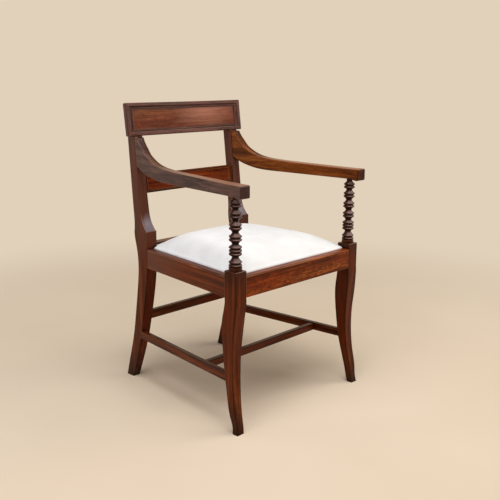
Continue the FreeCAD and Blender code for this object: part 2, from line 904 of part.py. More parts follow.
def arm():
    # The right-hand arm, running into the stile, before it is trimmed to the stile's front.
    side = arm_side_face().extrude(V(arm_front_half_span * 2, 0, 0))
    plan = arm_plan_face(0).extrude(V(0, 0, crest_top_height))
    blank = side.common(plan)
    blank = blank.makeFillet(arm_hand_round, arm_hand_edges(blank))
    blank = blank.makeFillet(arm_outer_round, arm_outer_corner(blank))
    return blank.cut(arm_hollow())


# Screws

def wood_screw(radius, length, head_radius, head_height, point, direction, sinking=0.0):
    # A slotted countersunk screw with its head's face at the point, and the hole it fills.
    tip = radius * 2
    head = Part.makeCone(head_radius, radius, head_height, V(0, 0, 0), V(0, 0, -1))
    shank = Part.makeCylinder(radius, length - tip, V(0, 0, 0), V(0, 0, -1))
    end = Part.makeCone(radius, radius * screw_tip_share, tip, V(0, 0, tip - length), V(0, 0, -1))
    blank = head.fuse([shank, end]).removeSplitter()
    slot = box(-head_radius, head_radius, -screw_slot_width / 2, screw_slot_width / 2,
               -screw_slot_depth, screw_slot_depth)
    screw, hole = blank.cut(slot), blank
    if sinking > 0:
        hole = blank.fuse(Part.makeCylinder(head_radius, sinking * 2))
    place = FreeCAD.Placement(point, FreeCAD.Rotation(V(0, 0, -1), direction))
    screw.Placement = place
    hole.Placement = place
    return screw, hole


def arm_fixings():
    # Two screws through the right-hand stile into the arm, each in a bore for a plug.
    x = arm_back_half_span - arm_back_width / 2
    screws, holes, bores = [], [], []
    for index in range(2):
        z = arm_back_height - arm_back_depth + arm_screw_rise + arm_screw_spacing * index
        head = V(x, stile_front_y(z) + stile_depth - arm_screw_sinking, z)
        screw, hole = wood_screw(arm_screw_radius, arm_screw_length, arm_screw_head_radius,
                                 arm_screw_head_height, head, V(0, -1, 0))
        screws.append(screw)
        holes.append(hole)
        bores.append(Part.makeCylinder(arm_plug_radius, arm_screw_sinking * 2, head, Y_AXIS))
    return screws, holes, bores


def crest_fixings():
    # Two screws from behind through the right-hand stile's head into the crest.
    lean = math.radians(crest_lean_degrees)
    x = stile_top_half_span - stile_width / 2
    pairs = []
    for index in range(2):
        z = crest_bottom_height + crest_screw_rise + crest_screw_spacing * index
        head = V(x, stile_front_y(z) + stile_depth - crest_screw_sinking, z)
        pairs.append(wood_screw(crest_screw_radius, crest_screw_length, crest_screw_head_radius,
                                crest_screw_head_height, head,
                                V(0, -math.cos(lean), math.sin(lean)), crest_screw_sinking))
    return [pair[0] for pair in pairs], [pair[1] for pair in pairs]


# Seat rails

def rail_face(lip, ledge, top):
    # Section across a rail: x from its outer face inwards, z up, with the scratched bead
    # along the top of the face and the rebate that the seat drops into.
    radius = rail_bead_radius
    short = radius * (1 - math.sqrt(0.5))
    bead_foot = top - radius - rail_bead_quirk
    edges = [
        line(V(0, 0, seat_rail_bottom), V(0, 0, bead_foot - rail_bead_quirk)),
        line(V(0, 0, bead_foot - rail_bead_quirk), V(rail_bead_quirk, 0, bead_foot)),
        line(V(rail_bead_quirk, 0, bead_foot), V(0, 0, top - radius)),
        arc(V(0, 0, top - radius), V(short, 0, top - short), V(radius, 0, top)),
        line(V(radius, 0, top), V(lip, 0, top)),
        line(V(lip, 0, top), V(lip, 0, ledge_height)),
        line(V(lip, 0, ledge_height), V(lip + ledge, 0, ledge_height)),
        line(V(lip + ledge, 0, ledge_height), V(lip + ledge, 0, seat_rail_bottom)),
        line(V(lip + ledge, 0, seat_rail_bottom), V(0, 0, seat_rail_bottom)),
    ]
    return Part.Face(Part.Wire(edges))


def side_x(y, inset):
    # A line parallel to the right-hand rail's outer face, a distance inside it.
    share = (y - rail_front_y) / (back_y - rail_front_y)
    return between(rail_front_x, rail_back_x, share) - inset / math.cos(rail_splay)


def along_side(shape):
    # Sets a bar made from the origin along +Y on the left-hand rail's outer face line.
    shape.rotate(V(0, 0, 0), Z_AXIS, -math.degrees(rail_splay))
    shape.translate(V(-rail_front_x, rail_front_y, 0))
    return shape


def side_rail(legs):
    # The left-hand rail with its two tenons, and the bar that the tenons come from.
    length = (back_y - rail_front_y) / math.cos(rail_splay)
    bar = rail_face(rail_lip_width, rail_ledge_width, seat_rail_top)
    bar.translate(V(0, -rail_end_overlap, 0))
    bar = along_side(bar.extrude(V(0, length + rail_end_overlap * 2, 0)))
    tenon = along_side(box(side_tenon_inset, side_tenon_inset + rail_tenon_thickness,
                           -rail_tenon_length, length + rail_tenon_length,
                           tenon_bottom, tenon_bottom + rail_tenon_height))
    return without(bar, legs).fuse(tenon_ends(tenon, legs)), tenon


def cross_rail(lip, ledge, top, half_shoulder, face_y, tenon_inset, forwards, legs):
    # A front or back rail, its outer face at face_y and its rebate facing the seat.
    half = half_shoulder + rail_end_overlap
    bar = rail_face(lip, ledge, top).extrude(V(0, half * 2, 0))
    bar.rotate(V(0, 0, 0), Z_AXIS, 90 if forwards else -90)
    bar.translate(V(half if forwards else -half, face_y, 0))
    near = face_y + (tenon_inset if forwards else -tenon_inset - rail_tenon_thickness)
    reach = half_shoulder + rail_tenon_length
    tenon = box(-reach, reach, near, near + rail_tenon_thickness,
                tenon_bottom, tenon_bottom + rail_tenon_height)
    return without(bar, legs).fuse(tenon_ends(tenon, legs)), tenon


# Corner blocks

def corner_block(corner, first, second, neighbours):
    # A triangular block between two rails, notched round the leg, and its two screws.
    # corner lies inside the leg, first and second on the rails' inner faces.
    top = ledge_height - corner_block_drop
    low = top - corner_block_height
    face = polygon([V(p.x, p.y, low) for p in (corner, first, second)])
    block = without(face.extrude(V(0, 0, corner_block_height)), neighbours)
    across = second - first
    inward = V(-across.y, across.x, 0).normalize()
    if inward.dot(corner - first) < 0:
        inward = inward * -1
    middle = (first + second) / 2
    pairs = [wood_screw(corner_screw_radius, corner_screw_length, corner_screw_head_radius,
                        corner_screw_head_height, V(middle.x, middle.y, z), inward)
             for z in (low + corner_screw_margin, top - corner_screw_margin)]
    holes = [pair[1] for pair in pairs]
    return block.cut(holes), [pair[0] for pair in pairs], holes


def front_corner(neighbours):
    rail_inner_y = front_y + rail_set_in + rail_width
    far_y = rail_inner_y + corner_block_reach
    near = side_x(rail_inner_y, rail_width)
    return corner_block(V(post_x, post_y, 0), V(near - corner_block_reach, rail_inner_y, 0),
                        V(side_x(far_y, rail_width), far_y, 0), neighbours)


def back_corner(neighbours):
    rail_inner_y = back_lip_y - rail_ledge_width
    far_y = rail_inner_y - corner_block_reach
    near = side_x(rail_inner_y, rail_width)
    deep = V(back_leg_half_span - back_leg_width / 2, back_lip_y, 0)
    return corner_block(deep, V(near - corner_block_reach, rail_inner_y, 0),
                        V(side_x(far_y, rail_width), far_y, 0), neighbours)


# Stretchers

def bar_between(start, end, thickness, height, easing):
    # A level bar with eased edges. start and end are on the middle of its upper face.
    run = end - start
    outline = rounded_rectangle(-thickness / 2, thickness / 2, -height, 0, 0, easing)
    bar = Part.Face(outline).extrude(V(0, 0, run.Length))
    bar.rotate(V(0, 0, 0), X_AXIS, 90)
    bar.rotate(V(0, 0, 0), Z_AXIS, math.degrees(math.atan2(run.x, -run.y)))
    bar.translate(start)
    return bar


def front_leg_outer(z):
    # The front leg's outer face at a height, by straight steps between its sections.
    height = z / seat_rail_bottom
    for upper, lower in zip(front_leg_section_shares, front_leg_section_shares[1:]):
        if lower[0] <= height <= upper[0]:
            share = (height - lower[0]) / (upper[0] - lower[0])
            splay = between(lower[4], upper[4], share)
    return between(front_block_half_span, front_foot_half_span, splay)


def side_stretcher_line():
    # The middle line of the right-hand stretcher's upper face, from leg to leg.
    middle = stretcher_top - stretcher_height / 2
    inset = stretcher_set_in + stretcher_thickness / 2
    back = back_leg_outer(middle)
    start = V(front_leg_outer(middle) - inset, post_y, stretcher_top)
    end = V(back - inset, back_y + back_foot_rake / 2 + back_leg_depth / 2, stretcher_top)
    return start, end


def stretcher_x(y):
    start, end = side_stretcher_line()
    return between(start.x, end.x, (y - start.y) / (end.y - start.y))


def level_tenon(start, end, top, height):
    # A thin bar inside a stretcher, running past it into what carries it.
    drop = V(0, 0, (height - stretcher_tenon_height) / 2)
    return bar_between(start - drop, end - drop, stretcher_tenon_thickness,
                       stretcher_tenon_height, stretcher_easing)


def side_stretcher(legs):
    # The right-hand stretcher.
    start, end = side_stretcher_line()
    bar = bar_between(start, end, stretcher_thickness, stretcher_height, stretcher_easing)
    tenon = level_tenon(start, end, stretcher_top, stretcher_height)
    return without(bar, legs).fuse(tenon_ends(tenon, legs)), tenon


def rung(y, top, height, half_body, half_tenon, carriers):
    # A stretcher across the chair, its front face at y.
    middle = y + stretcher_thickness / 2
    bar = bar_between(V(half_body, middle, top), V(-half_body, middle, top),
                      stretcher_thickness, height, stretcher_easing)
    tenon = level_tenon(V(half_tenon, middle, top), V(-half_tenon, middle, top), top, height)
    return without(bar, carriers).fuse(tenon_ends(tenon, carriers)), tenon


# Drop-in seat

def seat_outline(grow, z):
    # The loose seat's outline, notched round the four legs, enlarged all round by grow.
    inset = rail_lip_width + seat_gap - grow
    front = front_lip_y + seat_gap - grow
    back = back_lip_y - seat_gap + grow
    notch_front = rail_front_y + seat_gap - grow
    notch_back = back_y - seat_gap + grow
    front_x = block_inner_x - seat_gap + grow
    back_x = back_leg_inner_x - seat_gap + grow
    right = [
        (front_x, front),
        (front_x, notch_front),
        (side_x(notch_front, inset), notch_front),
        (side_x(notch_back, inset), notch_back),
        (back_x, notch_back),
        (back_x, back),
    ]
    left = [(-x, y) for x, y in reversed(right)]
    return [V(x, y, z) for x, y in right + left]


def seat_slab(grow, low, high):
    return polygon(seat_outline(grow, low)).extrude(V(0, 0, high - low))


def seat_dome(grow):
    # The crown: level contours, drawn in along a quarter of an ellipse as they climb, with
    # corners that get rounder towards the middle.
    wires = []
    for step in range(seat_crown_steps + 1):
        angle = math.pi / 2 * step / seat_crown_steps
        drawn_in = 1 - math.cos(angle)
        edge = seat_gap - grow + seat_crown_reach * drawn_in
        z = seat_frame_top + (seat_crown_rise + grow) * math.sin(angle)
        front = front_lip_y + edge
        back = back_lip_y - edge
        front_x = side_x(front, rail_lip_width + edge)
        back_x = side_x(back, rail_lip_width + edge)
        radius = between(seat_corner_radius, (back - front) * seat_cap_round_share, drawn_in)
        wires.append(rounded_outline([V(-front_x, front, z), V(front_x, front, z),
                                      V(back_x, back, z), V(-back_x, back, z)], radius))
    return loft(wires)


def seat_frame():
    # Four members: the front and back run the full width, the sides are tongued into them.
    low, high = seat_frame_bottom, seat_frame_top
    slab = seat_slab(0, low, high)
    reach = rail_front_x + overrun
    front_edge = front_lip_y + seat_gap + seat_frame_front_width
    back_edge = back_lip_y - seat_gap - seat_frame_back_width
    front = slab.common(box(-reach, reach, front_y, front_edge, low, high))
    back = slab.common(box(-reach, reach, back_edge, back_lip_y, low, high))

    def strip(start, end, outer, inner, bottom, top):
        points = [(start, outer), (start, inner), (end, inner), (end, outer)]
        face = polygon([V(side_x(y, inset), y, bottom) for y, inset in points])
        return face.extrude(V(0, 0, top - bottom))

    edge = rail_lip_width + seat_gap
    side = strip(front_edge, back_edge, edge, edge + seat_frame_side_width, low, high)
    tongue_low = between(low, high, 0.5) - seat_frame_tongue_thickness / 2
    tongue = strip(front_edge - seat_frame_tongue_length, back_edge + seat_frame_tongue_length,
                   edge + seat_frame_tongue_margin,
                   edge + seat_frame_side_width - seat_frame_tongue_margin,
                   tongue_low, tongue_low + seat_frame_tongue_thickness)
    side = side.fuse(tongue).removeSplitter()
    tongues = [side, mirrored(side)]
    return {"seat_frame_front": without(front, tongues), "seat_frame_back": without(back, tongues),
            "seat_frame_left": mirrored(side), "seat_frame_right": side}


def spread(count, spacing):
    return [(index - (count - 1) / 2) * spacing for index in range(count)]


def webbing():
    # Straps across and along the frame, tacked on its upper face.
    low = seat_frame_top
    middle = low + webbing_thickness
    high = middle + webbing_thickness
    landing = webbing_landing + webbing_ramp
    front = front_lip_y + seat_gap + seat_frame_front_width - landing
    back = back_lip_y - seat_gap - seat_frame_back_width + landing
    lengthwise = [box(x - webbing_width / 2, x + webbing_width / 2, front, back, low, middle)
                  for x in spread(webbing_count, webbing_lengthwise_spacing)]
    crosswise = []
    centre = (front + back) / 2
    for offset in spread(webbing_count, webbing_crosswise_spacing):
        y = centre + offset
        inner = side_x(y + webbing_width / 2, rail_lip_width + seat_gap + seat_frame_side_width)
        foot = inner + webbing_ramp
        end = foot + webbing_landing
        points = [(end, low), (foot, low), (inner, middle), (-inner, middle), (-foot, low),
                  (-end, low), (-end, middle), (-foot, middle), (-inner, high), (inner, high),
                  (foot, middle), (end, middle)]
        face = polygon([V(x, y - webbing_width / 2, z) for x, z in points])
        crosswise.append(face.extrude(V(0, webbing_width, 0)))
    return Part.makeCompound(lengthwise), Part.makeCompound(crosswise)


def tack(x, y):
    # A tack driven up through the cover's hem into the frame.
    head = Part.makeCylinder(tack_head_radius, tack_head_height,
                             V(x, y, seat_hem_bottom - tack_head_height))
    shank = Part.makeCylinder(tack_shank_radius, tack_shank_length, V(x, y, seat_hem_bottom))
    return head.fuse(shank)


def tack_places():
    # An even row inside each edge of the frame.
    edge = seat_gap + tack_inset
    front = front_lip_y + edge
    back = back_lip_y - edge
    side_front = rail_front_y + edge + tack_inset
    side_back = back_y - edge - tack_inset
    places = []
    for y, half in ((front, block_inner_x - edge), (back, back_leg_inner_x - edge)):
        count = round(half * 2 / tack_spacing) + 1
        places += [(x, y) for x in spread(count, half * 2 / (count - 1))]
    count = round((side_back - side_front) / tack_spacing) + 1
    middle = (side_front + side_back) / 2
    for offset in spread(count, (side_back - side_front) / (count - 1)):
        y = middle + offset
        x = side_x(y, rail_lip_width + edge)
        places += [(x, y), (-x, y)]
    return places


def seat_pieces():
    frame = seat_frame()
    lengthwise, crosswise = webbing()
    straps_top = seat_frame_top + webbing_thickness * 2
    dome = seat_dome(0)
    hessian = dome.common(seat_slab(-hessian_inset, straps_top, seat_stack_top))
    stuffing = dome.cut(seat_slab(-hessian_inset, seat_frame_top - overrun, seat_stack_top))
    skirt = seat_slab(cover_thickness, seat_hem_bottom, seat_frame_top + cover_thickness)
    filling = seat_slab(0, seat_frame_bottom, seat_frame_top)
    window = seat_slab(-cover_hem_width, seat_hem_bottom - overrun, seat_frame_bottom + overrun)
    window = window.common(box(-rail_front_x, rail_front_x, front_y, back_lip_y,
                               seat_hem_bottom - overrun, seat_frame_bottom))
    cover = without(skirt.fuse(seat_dome(cover_thickness)), [filling, dome, window])
    tacks = [tack(x, y) for x, y in tack_places()]
    pieces = {"webbing_lengthwise": lengthwise, "webbing_crosswise": crosswise,
              "seat_hessian": hessian, "seat_stuffing": stuffing,
              "seat_cover": cover.cut(tacks), "cover_tacks": Part.makeCompound(tacks)}
    for name, member in frame.items():
        pieces[name] = member.cut(tacks)
    return pieces


# The whole chair

def pair_of(name, right):
    return {name + "_right": right, name + "_left": mirrored(right)}


def group(shapes):
    # The right-hand pieces of a group and their mirror images.
    return Part.makeCompound(shapes + [mirrored(shape) for shape in shapes])


def rails_and_stretchers(legs):
    # Every rail and stretcher, and the tenons that the right-hand legs are mortised for.
    left_rail, side_tenon = side_rail(legs)
    right_rail, side_tenon = mirrored(left_rail), mirrored(side_tenon)
    front_rail, front_tenon = cross_rail(
        rail_lip_width, rail_ledge_width, seat_rail_top, block_inner_x,
        front_y + rail_set_in, front_tenon_inset, True, legs)
    back_rail, back_tenon = cross_rail(
        back_rail_lip_width, rail_ledge_width, back_rail_top, back_leg_inner_x,
        back_lip_y + back_rail_lip_width, back_tenon_inset, False, legs)
    stretcher, stretcher_tenon = side_stretcher(legs)
    cross_y = front_y + cross_stretcher_set_back
    half_body = stretcher_x(cross_y)
    cross_rung, cross_tenon = rung(
        cross_y, cross_stretcher_top, cross_stretcher_height, half_body,
        half_body - stretcher_thickness / 2 + cross_tenon_length,
        [stretcher, mirrored(stretcher)])
    rear_rung, rear_tenon = rung(
        front_y + rear_stretcher_set_back, rear_stretcher_top, rear_stretcher_height,
        back_leg_inner_x + rail_end_overlap, back_leg_inner_x + stretcher_tenon_length, legs)
    pieces = {"seat_rail_left": left_rail, "seat_rail_right": right_rail,
              "seat_rail_front": front_rail, "seat_rail_back": back_rail,
              "cross_stretcher": cross_rung, "rear_stretcher": rear_rung}
    pieces.update(pair_of("side_stretcher", stretcher.cut(cross_tenon)))
    front_tenons = [side_tenon, front_tenon, stretcher_tenon]
    back_tenons = [side_tenon, back_tenon, stretcher_tenon, rear_tenon]
    return pieces, front_tenons, back_tenons


def chair_frame_pieces():
    leg = front_leg()
    stile = back_leg().cut(crest_rebate())
    legs = [leg, stile, mirrored(leg), mirrored(stile)]
    pieces, front_tenons, back_tenons = rails_and_stretchers(legs)

    pieces.update(crest_pieces())
    crest_screws, crest_holes = crest_fixings()
    pieces["crest_rail"] = pieces["crest_rail"].cut(
        crest_holes + [mirrored(hole) for hole in crest_holes])
    pieces["crest_screws"] = group(crest_screws)

    pieces.update(mid_rail_pieces(legs))

    arm_screws, arm_holes, plug_bores = arm_fixings()
    pieces.update(pair_of("arm", without(arm(), [stile, leg]).cut(arm_holes)))
    pieces["arm_screws"] = group(arm_screws)
    pieces["arm_screw_plugs"] = group([bore.common(stile) for bore in plug_bores])

    right_rail = pieces["seat_rail_right"]
    front_block, front_screws, front_holes = front_corner(
        [leg, right_rail, pieces["seat_rail_front"]])
    back_block, back_screws, back_holes = back_corner(
        [stile, right_rail, pieces["seat_rail_back"]])
    pieces.update(pair_of("corner_block_front", front_block))
    pieces.update(pair_of("corner_block_back", back_block))
    pieces["corner_block_screws"] = group(front_screws + back_screws)
    pieces["seat_rail_back"] = pieces["seat_rail_back"].cut(
        back_holes + [mirrored(hole) for hole in back_holes])

    pieces.update(pair_of("front_leg", leg.cut(front_tenons + front_holes)))
    pieces.update(pair_of("back_leg", stile.cut(
        back_tenons + [mid_rail_tenon()] + back_holes + arm_holes + plug_bores + crest_holes)))
    return pieces


def main():
    os.makedirs("parts", exist_ok=True)
    pieces = chair_frame_pieces()
    pieces.update(seat_pieces())
    for name, shape in sorted(pieces.items()):
        print(name, shape.isValid(), len(shape.Solids), round(shape.Volume))
        shape.exportStep(os.path.join("parts", name + ".step"))


main()
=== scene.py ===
# %% [markdown]
# # A mahogany carver chair
# The chair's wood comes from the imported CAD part, which arrives as a frame of fixed pieces. This
# lesson gives each piece its finish, and makes the soft parts of the drop-in seat as cloth.

# %% Load the frame
import math

import bmesh
import bpy
from mathutils import Euler, Matrix, Vector


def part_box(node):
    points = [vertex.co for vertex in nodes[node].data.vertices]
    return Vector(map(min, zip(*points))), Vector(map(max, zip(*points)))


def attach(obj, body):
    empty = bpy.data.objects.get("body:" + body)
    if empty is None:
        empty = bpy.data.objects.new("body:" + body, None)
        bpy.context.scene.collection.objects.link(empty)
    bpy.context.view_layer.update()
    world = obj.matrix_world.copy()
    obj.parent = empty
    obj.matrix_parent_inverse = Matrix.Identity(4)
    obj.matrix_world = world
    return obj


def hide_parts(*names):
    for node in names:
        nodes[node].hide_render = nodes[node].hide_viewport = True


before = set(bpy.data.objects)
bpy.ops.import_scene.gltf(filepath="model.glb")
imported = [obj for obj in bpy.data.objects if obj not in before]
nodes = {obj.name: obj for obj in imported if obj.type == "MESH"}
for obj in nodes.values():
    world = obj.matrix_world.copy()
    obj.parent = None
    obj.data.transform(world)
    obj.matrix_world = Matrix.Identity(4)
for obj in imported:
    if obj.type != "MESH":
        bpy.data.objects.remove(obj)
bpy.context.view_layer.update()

# %% [markdown]
# ## The camera
# It stands where the photographer stood: in front of the chair's left arm, a little above the
# crest, turned 46 degrees from straight ahead and looking 13 degrees down. The lens follows from
# the convergence of the chair's straight edges.

# %% Camera
camera_place = Vector((-1.5346, -1.5664, 0.9383))
camera_turn_degrees = 45.593
camera_tilt_degrees = 13.263
camera_roll_degrees = 0.23
# The lens and the sensor are in millimetres, as on a real camera.
camera_lens = 53.31
sensor_width = 36

camera = bpy.data.objects.new("camera", bpy.data.cameras.new("camera"))
bpy.context.scene.collection.objects.link(camera)
turn = Euler((math.radians(90 - camera_tilt_degrees), 0, -math.radians(camera_turn_degrees))).to_matrix()
roll = Matrix.Rotation(math.radians(camera_roll_degrees), 3, "Z")
camera.matrix_world = Matrix.Translation(camera_place) @ (turn @ roll).to_4x4()
camera.data.lens = camera_lens
camera.data.sensor_width = sensor_width
bpy.context.scene.camera = camera
print("camera at", [round(v, 3) for v in camera.matrix_world.translation])

# %% [markdown]
# ## Colours and nodes
# Colours are written as sRGB hex values, as a paint chart gives them. Shaders work in linear
# light, so one function turns a hex value into linear numbers. Another adds a node to a material,
# sets its values and makes its links, which keeps each material's cell short.

# %% Colours
mm = 0.001


def linear(hex_colour):
    values = [int(hex_colour[i:i + 2], 16) / 255 for i in (1, 3, 5)]
    return [v / 12.92 if v <= 0.04045 else ((v + 0.055) / 1.055) ** 2.4 for v in values] + [1]


print("hex #806040 is", [round(v, 3) for v in linear("#806040")])

# %% Helpers for materials
def new_material(name):
    material = bpy.data.materials.new(name)
    material.use_nodes = True
    material.node_tree.nodes.clear()
    return material


def add(material, kind, inputs=None, **settings):
    # Inputs may be plain values or the output sockets of other nodes.
    node = material.node_tree.nodes.new(kind)
    for key, value in settings.items():
        setattr(node, key, value)
    for key, value in (inputs or {}).items():
        if isinstance(value, bpy.types.NodeSocket):
            material.node_tree.links.new(value, node.inputs[key])
        else:
            node.inputs[key].default_value = value
    return node


def set_ramp(ramp, stops):
    # Stops are pairs of a place from 0 to 1 and a grey level or a hex colour.
    elements = ramp.color_ramp.elements
    while len(elements) < len(stops):
        elements.new(0.5)
    for element, (place, colour) in zip(elements, stops):
        element.position = place
        element.color = linear(colour) if isinstance(colour, str) else (colour, colour, colour, 1)
    return ramp.outputs["Color"]


def give_surface(material, look):
    # The last step of a material: its look is the values and sockets of one surface shader.
    shader = add(material, "ShaderNodeBsdfPrincipled", look).outputs["BSDF"]
    add(material, "ShaderNodeOutputMaterial", {"Surface": shader})
    return material


floor_paint = new_material("floor_matt_paint")
print("first material", floor_paint.name)

# %% [markdown]
# ## The studio floor
# A plain pale floor catches the chair's shadow. It is painted matt, so it shows no mirror image of
# the legs. A curved backdrop could stand behind the chair, but a disc so wide that its edge is
# never seen is simpler and looks the same from every side.

# %% Floor
floor_radius = 30.0

floor_mesh = bmesh.new()
bmesh.ops.create_circle(floor_mesh, cap_ends=True, segments=96, radius=floor_radius)
floor_data = bpy.data.meshes.new("floor")
floor_mesh.to_mesh(floor_data)
floor_mesh.free()
floor = bpy.data.objects.new("floor", floor_data)
bpy.context.scene.collection.objects.link(floor)
print("floor", 2 * floor_radius, "m across")

# %% [markdown]
# ## A pale background
# Far from the chair the floor turns into the plain colour of the surround, so no horizon shows.
# Brighter lamps could make the background pale, but they would bleach the chair as well. Light Path
# tells what a ray is for, so only what the camera, a reflection or clear glass sees is changed, and
# not the light itself.

# %% Rays that see the background
floor_colour = "#E2D1BA"
floor_shade = "#DBC9B1"


def seen_rays(owner):
    # 1 for rays of the camera, of a reflection or through glass, and 0 for the light itself.
    path = add(owner, "ShaderNodeLightPath").outputs
    seen = add(owner, "ShaderNodeMath", {0: path["Is Camera Ray"], 1: path["Is Glossy Ray"]},
               operation="MAXIMUM").outputs["Value"]
    return add(owner, "ShaderNodeMath", {0: seen, 1: path["Is Transmission Ray"]},
               operation="MAXIMUM").outputs["Value"]


print("background", floor_colour)

# %% Floor paint
# The paint is plain within the first distance from the chair's middle and pure background beyond
# the second. Its mottling is faint, in patches of about 800 mm.
plain_until = 0.8
background_from = 2.3

coords = add(floor_paint, "ShaderNodeTexCoord").outputs["Object"]
mottle = add(floor_paint, "ShaderNodeTexNoise", {"Vector": coords, "Scale": 1.3, "Detail": 3.0,
                                                 "Roughness": 0.5}).outputs["Fac"]
paint = set_ramp(add(floor_paint, "ShaderNodeValToRGB", {"Fac": mottle}),
                 [(0.3, floor_shade), (0.7, floor_colour)])
near = add(floor_paint, "ShaderNodeBsdfPrincipled", {"Base Color": paint, "Roughness": 0.75,
                                                     "Specular IOR Level": 0.2}).outputs["BSDF"]
far = add(floor_paint, "ShaderNodeEmission",
          {"Color": linear(floor_colour), "Strength": 1.0}).outputs["Emission"]
distance = add(floor_paint, "ShaderNodeVectorMath", {0: coords}, operation="LENGTH").outputs["Value"]
spread = add(floor_paint, "ShaderNodeMapRange",
             {"Value": distance, "From Min": plain_until, "From Max": background_from},
             interpolation_type="SMOOTHSTEP").outputs["Result"]
share = add(floor_paint, "ShaderNodeMath", {0: spread, 1: seen_rays(floor_paint)},
            operation="MULTIPLY").outputs["Value"]
floor_shader = add(floor_paint, "ShaderNodeMixShader", {0: share, 1: near, 2: far}).outputs["Shader"]
add(floor_paint, "ShaderNodeOutputMaterial", {"Surface": floor_shader})
floor_data.materials.append(floor_paint)
print("floor painted", floor_shade, "to", floor_colour)

# %% Surround
surround_light = "#DCD2C6"
surround_strength = 0.30

world = bpy.data.worlds.new("studio_surround")
bpy.context.scene.world = world
world.use_nodes = True
world.node_tree.nodes.clear()
light = add(world, "ShaderNodeBackground",
            {"Color": linear(surround_light), "Strength": surround_strength}).outputs["Background"]
view = add(world, "ShaderNodeBackground",
           {"Color": linear(floor_colour), "Strength": 1.0}).outputs["Background"]
both = add(world, "ShaderNodeMixShader", {0: seen_rays(world), 1: light, 2: view}).outputs["Shader"]
add(world, "ShaderNodeOutputWorld", {"Surface": both})
bpy.context.scene.view_settings.view_transform = "Standard"
print("surround lights the chair at", surround_strength)

# %% [markdown]
# ## Lamps
# Most of the light comes from above, so the rings of the arm supports are bright on their upper
# sides and dark below. A large panel on the right in front of the chair stands for a window. One on
# the left fills the shadows, and a cool one behind on the left gives the near arm its sheen. Large
# panels are chosen because polish shows them as broad soft reflections.

# %% Lamps
def lamp(name, place, target, size, power, colour):
    # Place and target are in metres, the size is the side of a square panel, the power in watts.
    data = bpy.data.lights.new(name, "AREA")
    data.shape = "RECTANGLE"
    data.size = data.size_y = size
    data.energy = power
    data.color = linear(colour)[:3]
    panel = bpy.data.objects.new(name, data)
    bpy.context.scene.collection.objects.link(panel)
    panel.location = place
    panel.rotation_euler = (Vector(target) - Vector(place)).to_track_quat("-Z", "Y").to_euler()
    print(name, power, "W at", place)


lamp("top_panel", (-0.4, -0.8, 3.3), (0, 0, 0.4), 1.8, 72, "#FFFFFF")
lamp("window_panel", (2.6, -2.4, 2.4), (0, 0, 0.45), 2.4, 56, "#FFF8F0")
lamp("side_panel", (-2.9, -0.4, 2.7), (0, 0, 0.5), 2.4, 40, "#F6F7FF")
lamp("sheen_panel", (-3.0, 3.0, 1.5), (0, 0, 0.6), 2.0, 26, "#DCE6FF")

# %% [markdown]
# ## Mahogany
# The chair is of old Cuban mahogany, stained, French-polished and waxed. The eye reads four things:
# long ribbons of dark and light grain, fine dark pores that run with it, a deep reddish glow under
# a clear polish, and 200 years of use, which rubs the corners paler and leaves dirt in the hollows.
# The hollows are also darkened with painted shade.
# A photograph of a board would repeat and stretch, so the grain is built from noise that is long
# in the direction of the wood's fibres. Each piece is a board of its own, so it gets its own
# direction and its own place in the noise.

# %% Noise along the fibres
grain_turns = {"X": (0, 0, 0), "Y": (0, 0, math.pi / 2), "Z": (0, math.pi / 2, 0)}


def fibre_noise(wood, place, shift, turn, size, **noise):
    # Size is that of one patch of the pattern: along the fibres, then twice across them.
    spot = add(wood, "ShaderNodeMapping", {"Vector": place, "Location": shift, "Rotation": turn,
                                           "Scale": size}, vector_type="TEXTURE").outputs["Vector"]
    return add(wood, "ShaderNodeTexNoise", {"Vector": spot, "Scale": 1.0, **noise}).outputs["Fac"]


print("grain may run along", *grain_turns)

# %% Patterns of the grain
mahogany_patterns = {
    "ribbons": ((420 * mm, 15 * mm, 15 * mm), dict(Detail=5.0, Roughness=0.62, Distortion=0.35)),
    "streaks": ((150 * mm, 6 * mm, 6 * mm), dict(Detail=4.0, Roughness=0.7, Distortion=0.6)),
    "flecks": ((26 * mm, 12 * mm, 12 * mm), dict(Detail=4.0, Roughness=0.65, Distortion=1.2)),
    "clouds": ((260 * mm, 70 * mm, 70 * mm), dict(Detail=2.0)),
    # Real pores are 0.3 mm wide. They are drawn wider so that they show in the render.
    "pores": ((26 * mm, 1.3 * mm, 1.3 * mm), dict(Detail=2.0, Roughness=0.5)),
    "dents": ((38 * mm, 38 * mm, 38 * mm), dict(Detail=1.0)),
}
print(len(mahogany_patterns), "patterns of mahogany")
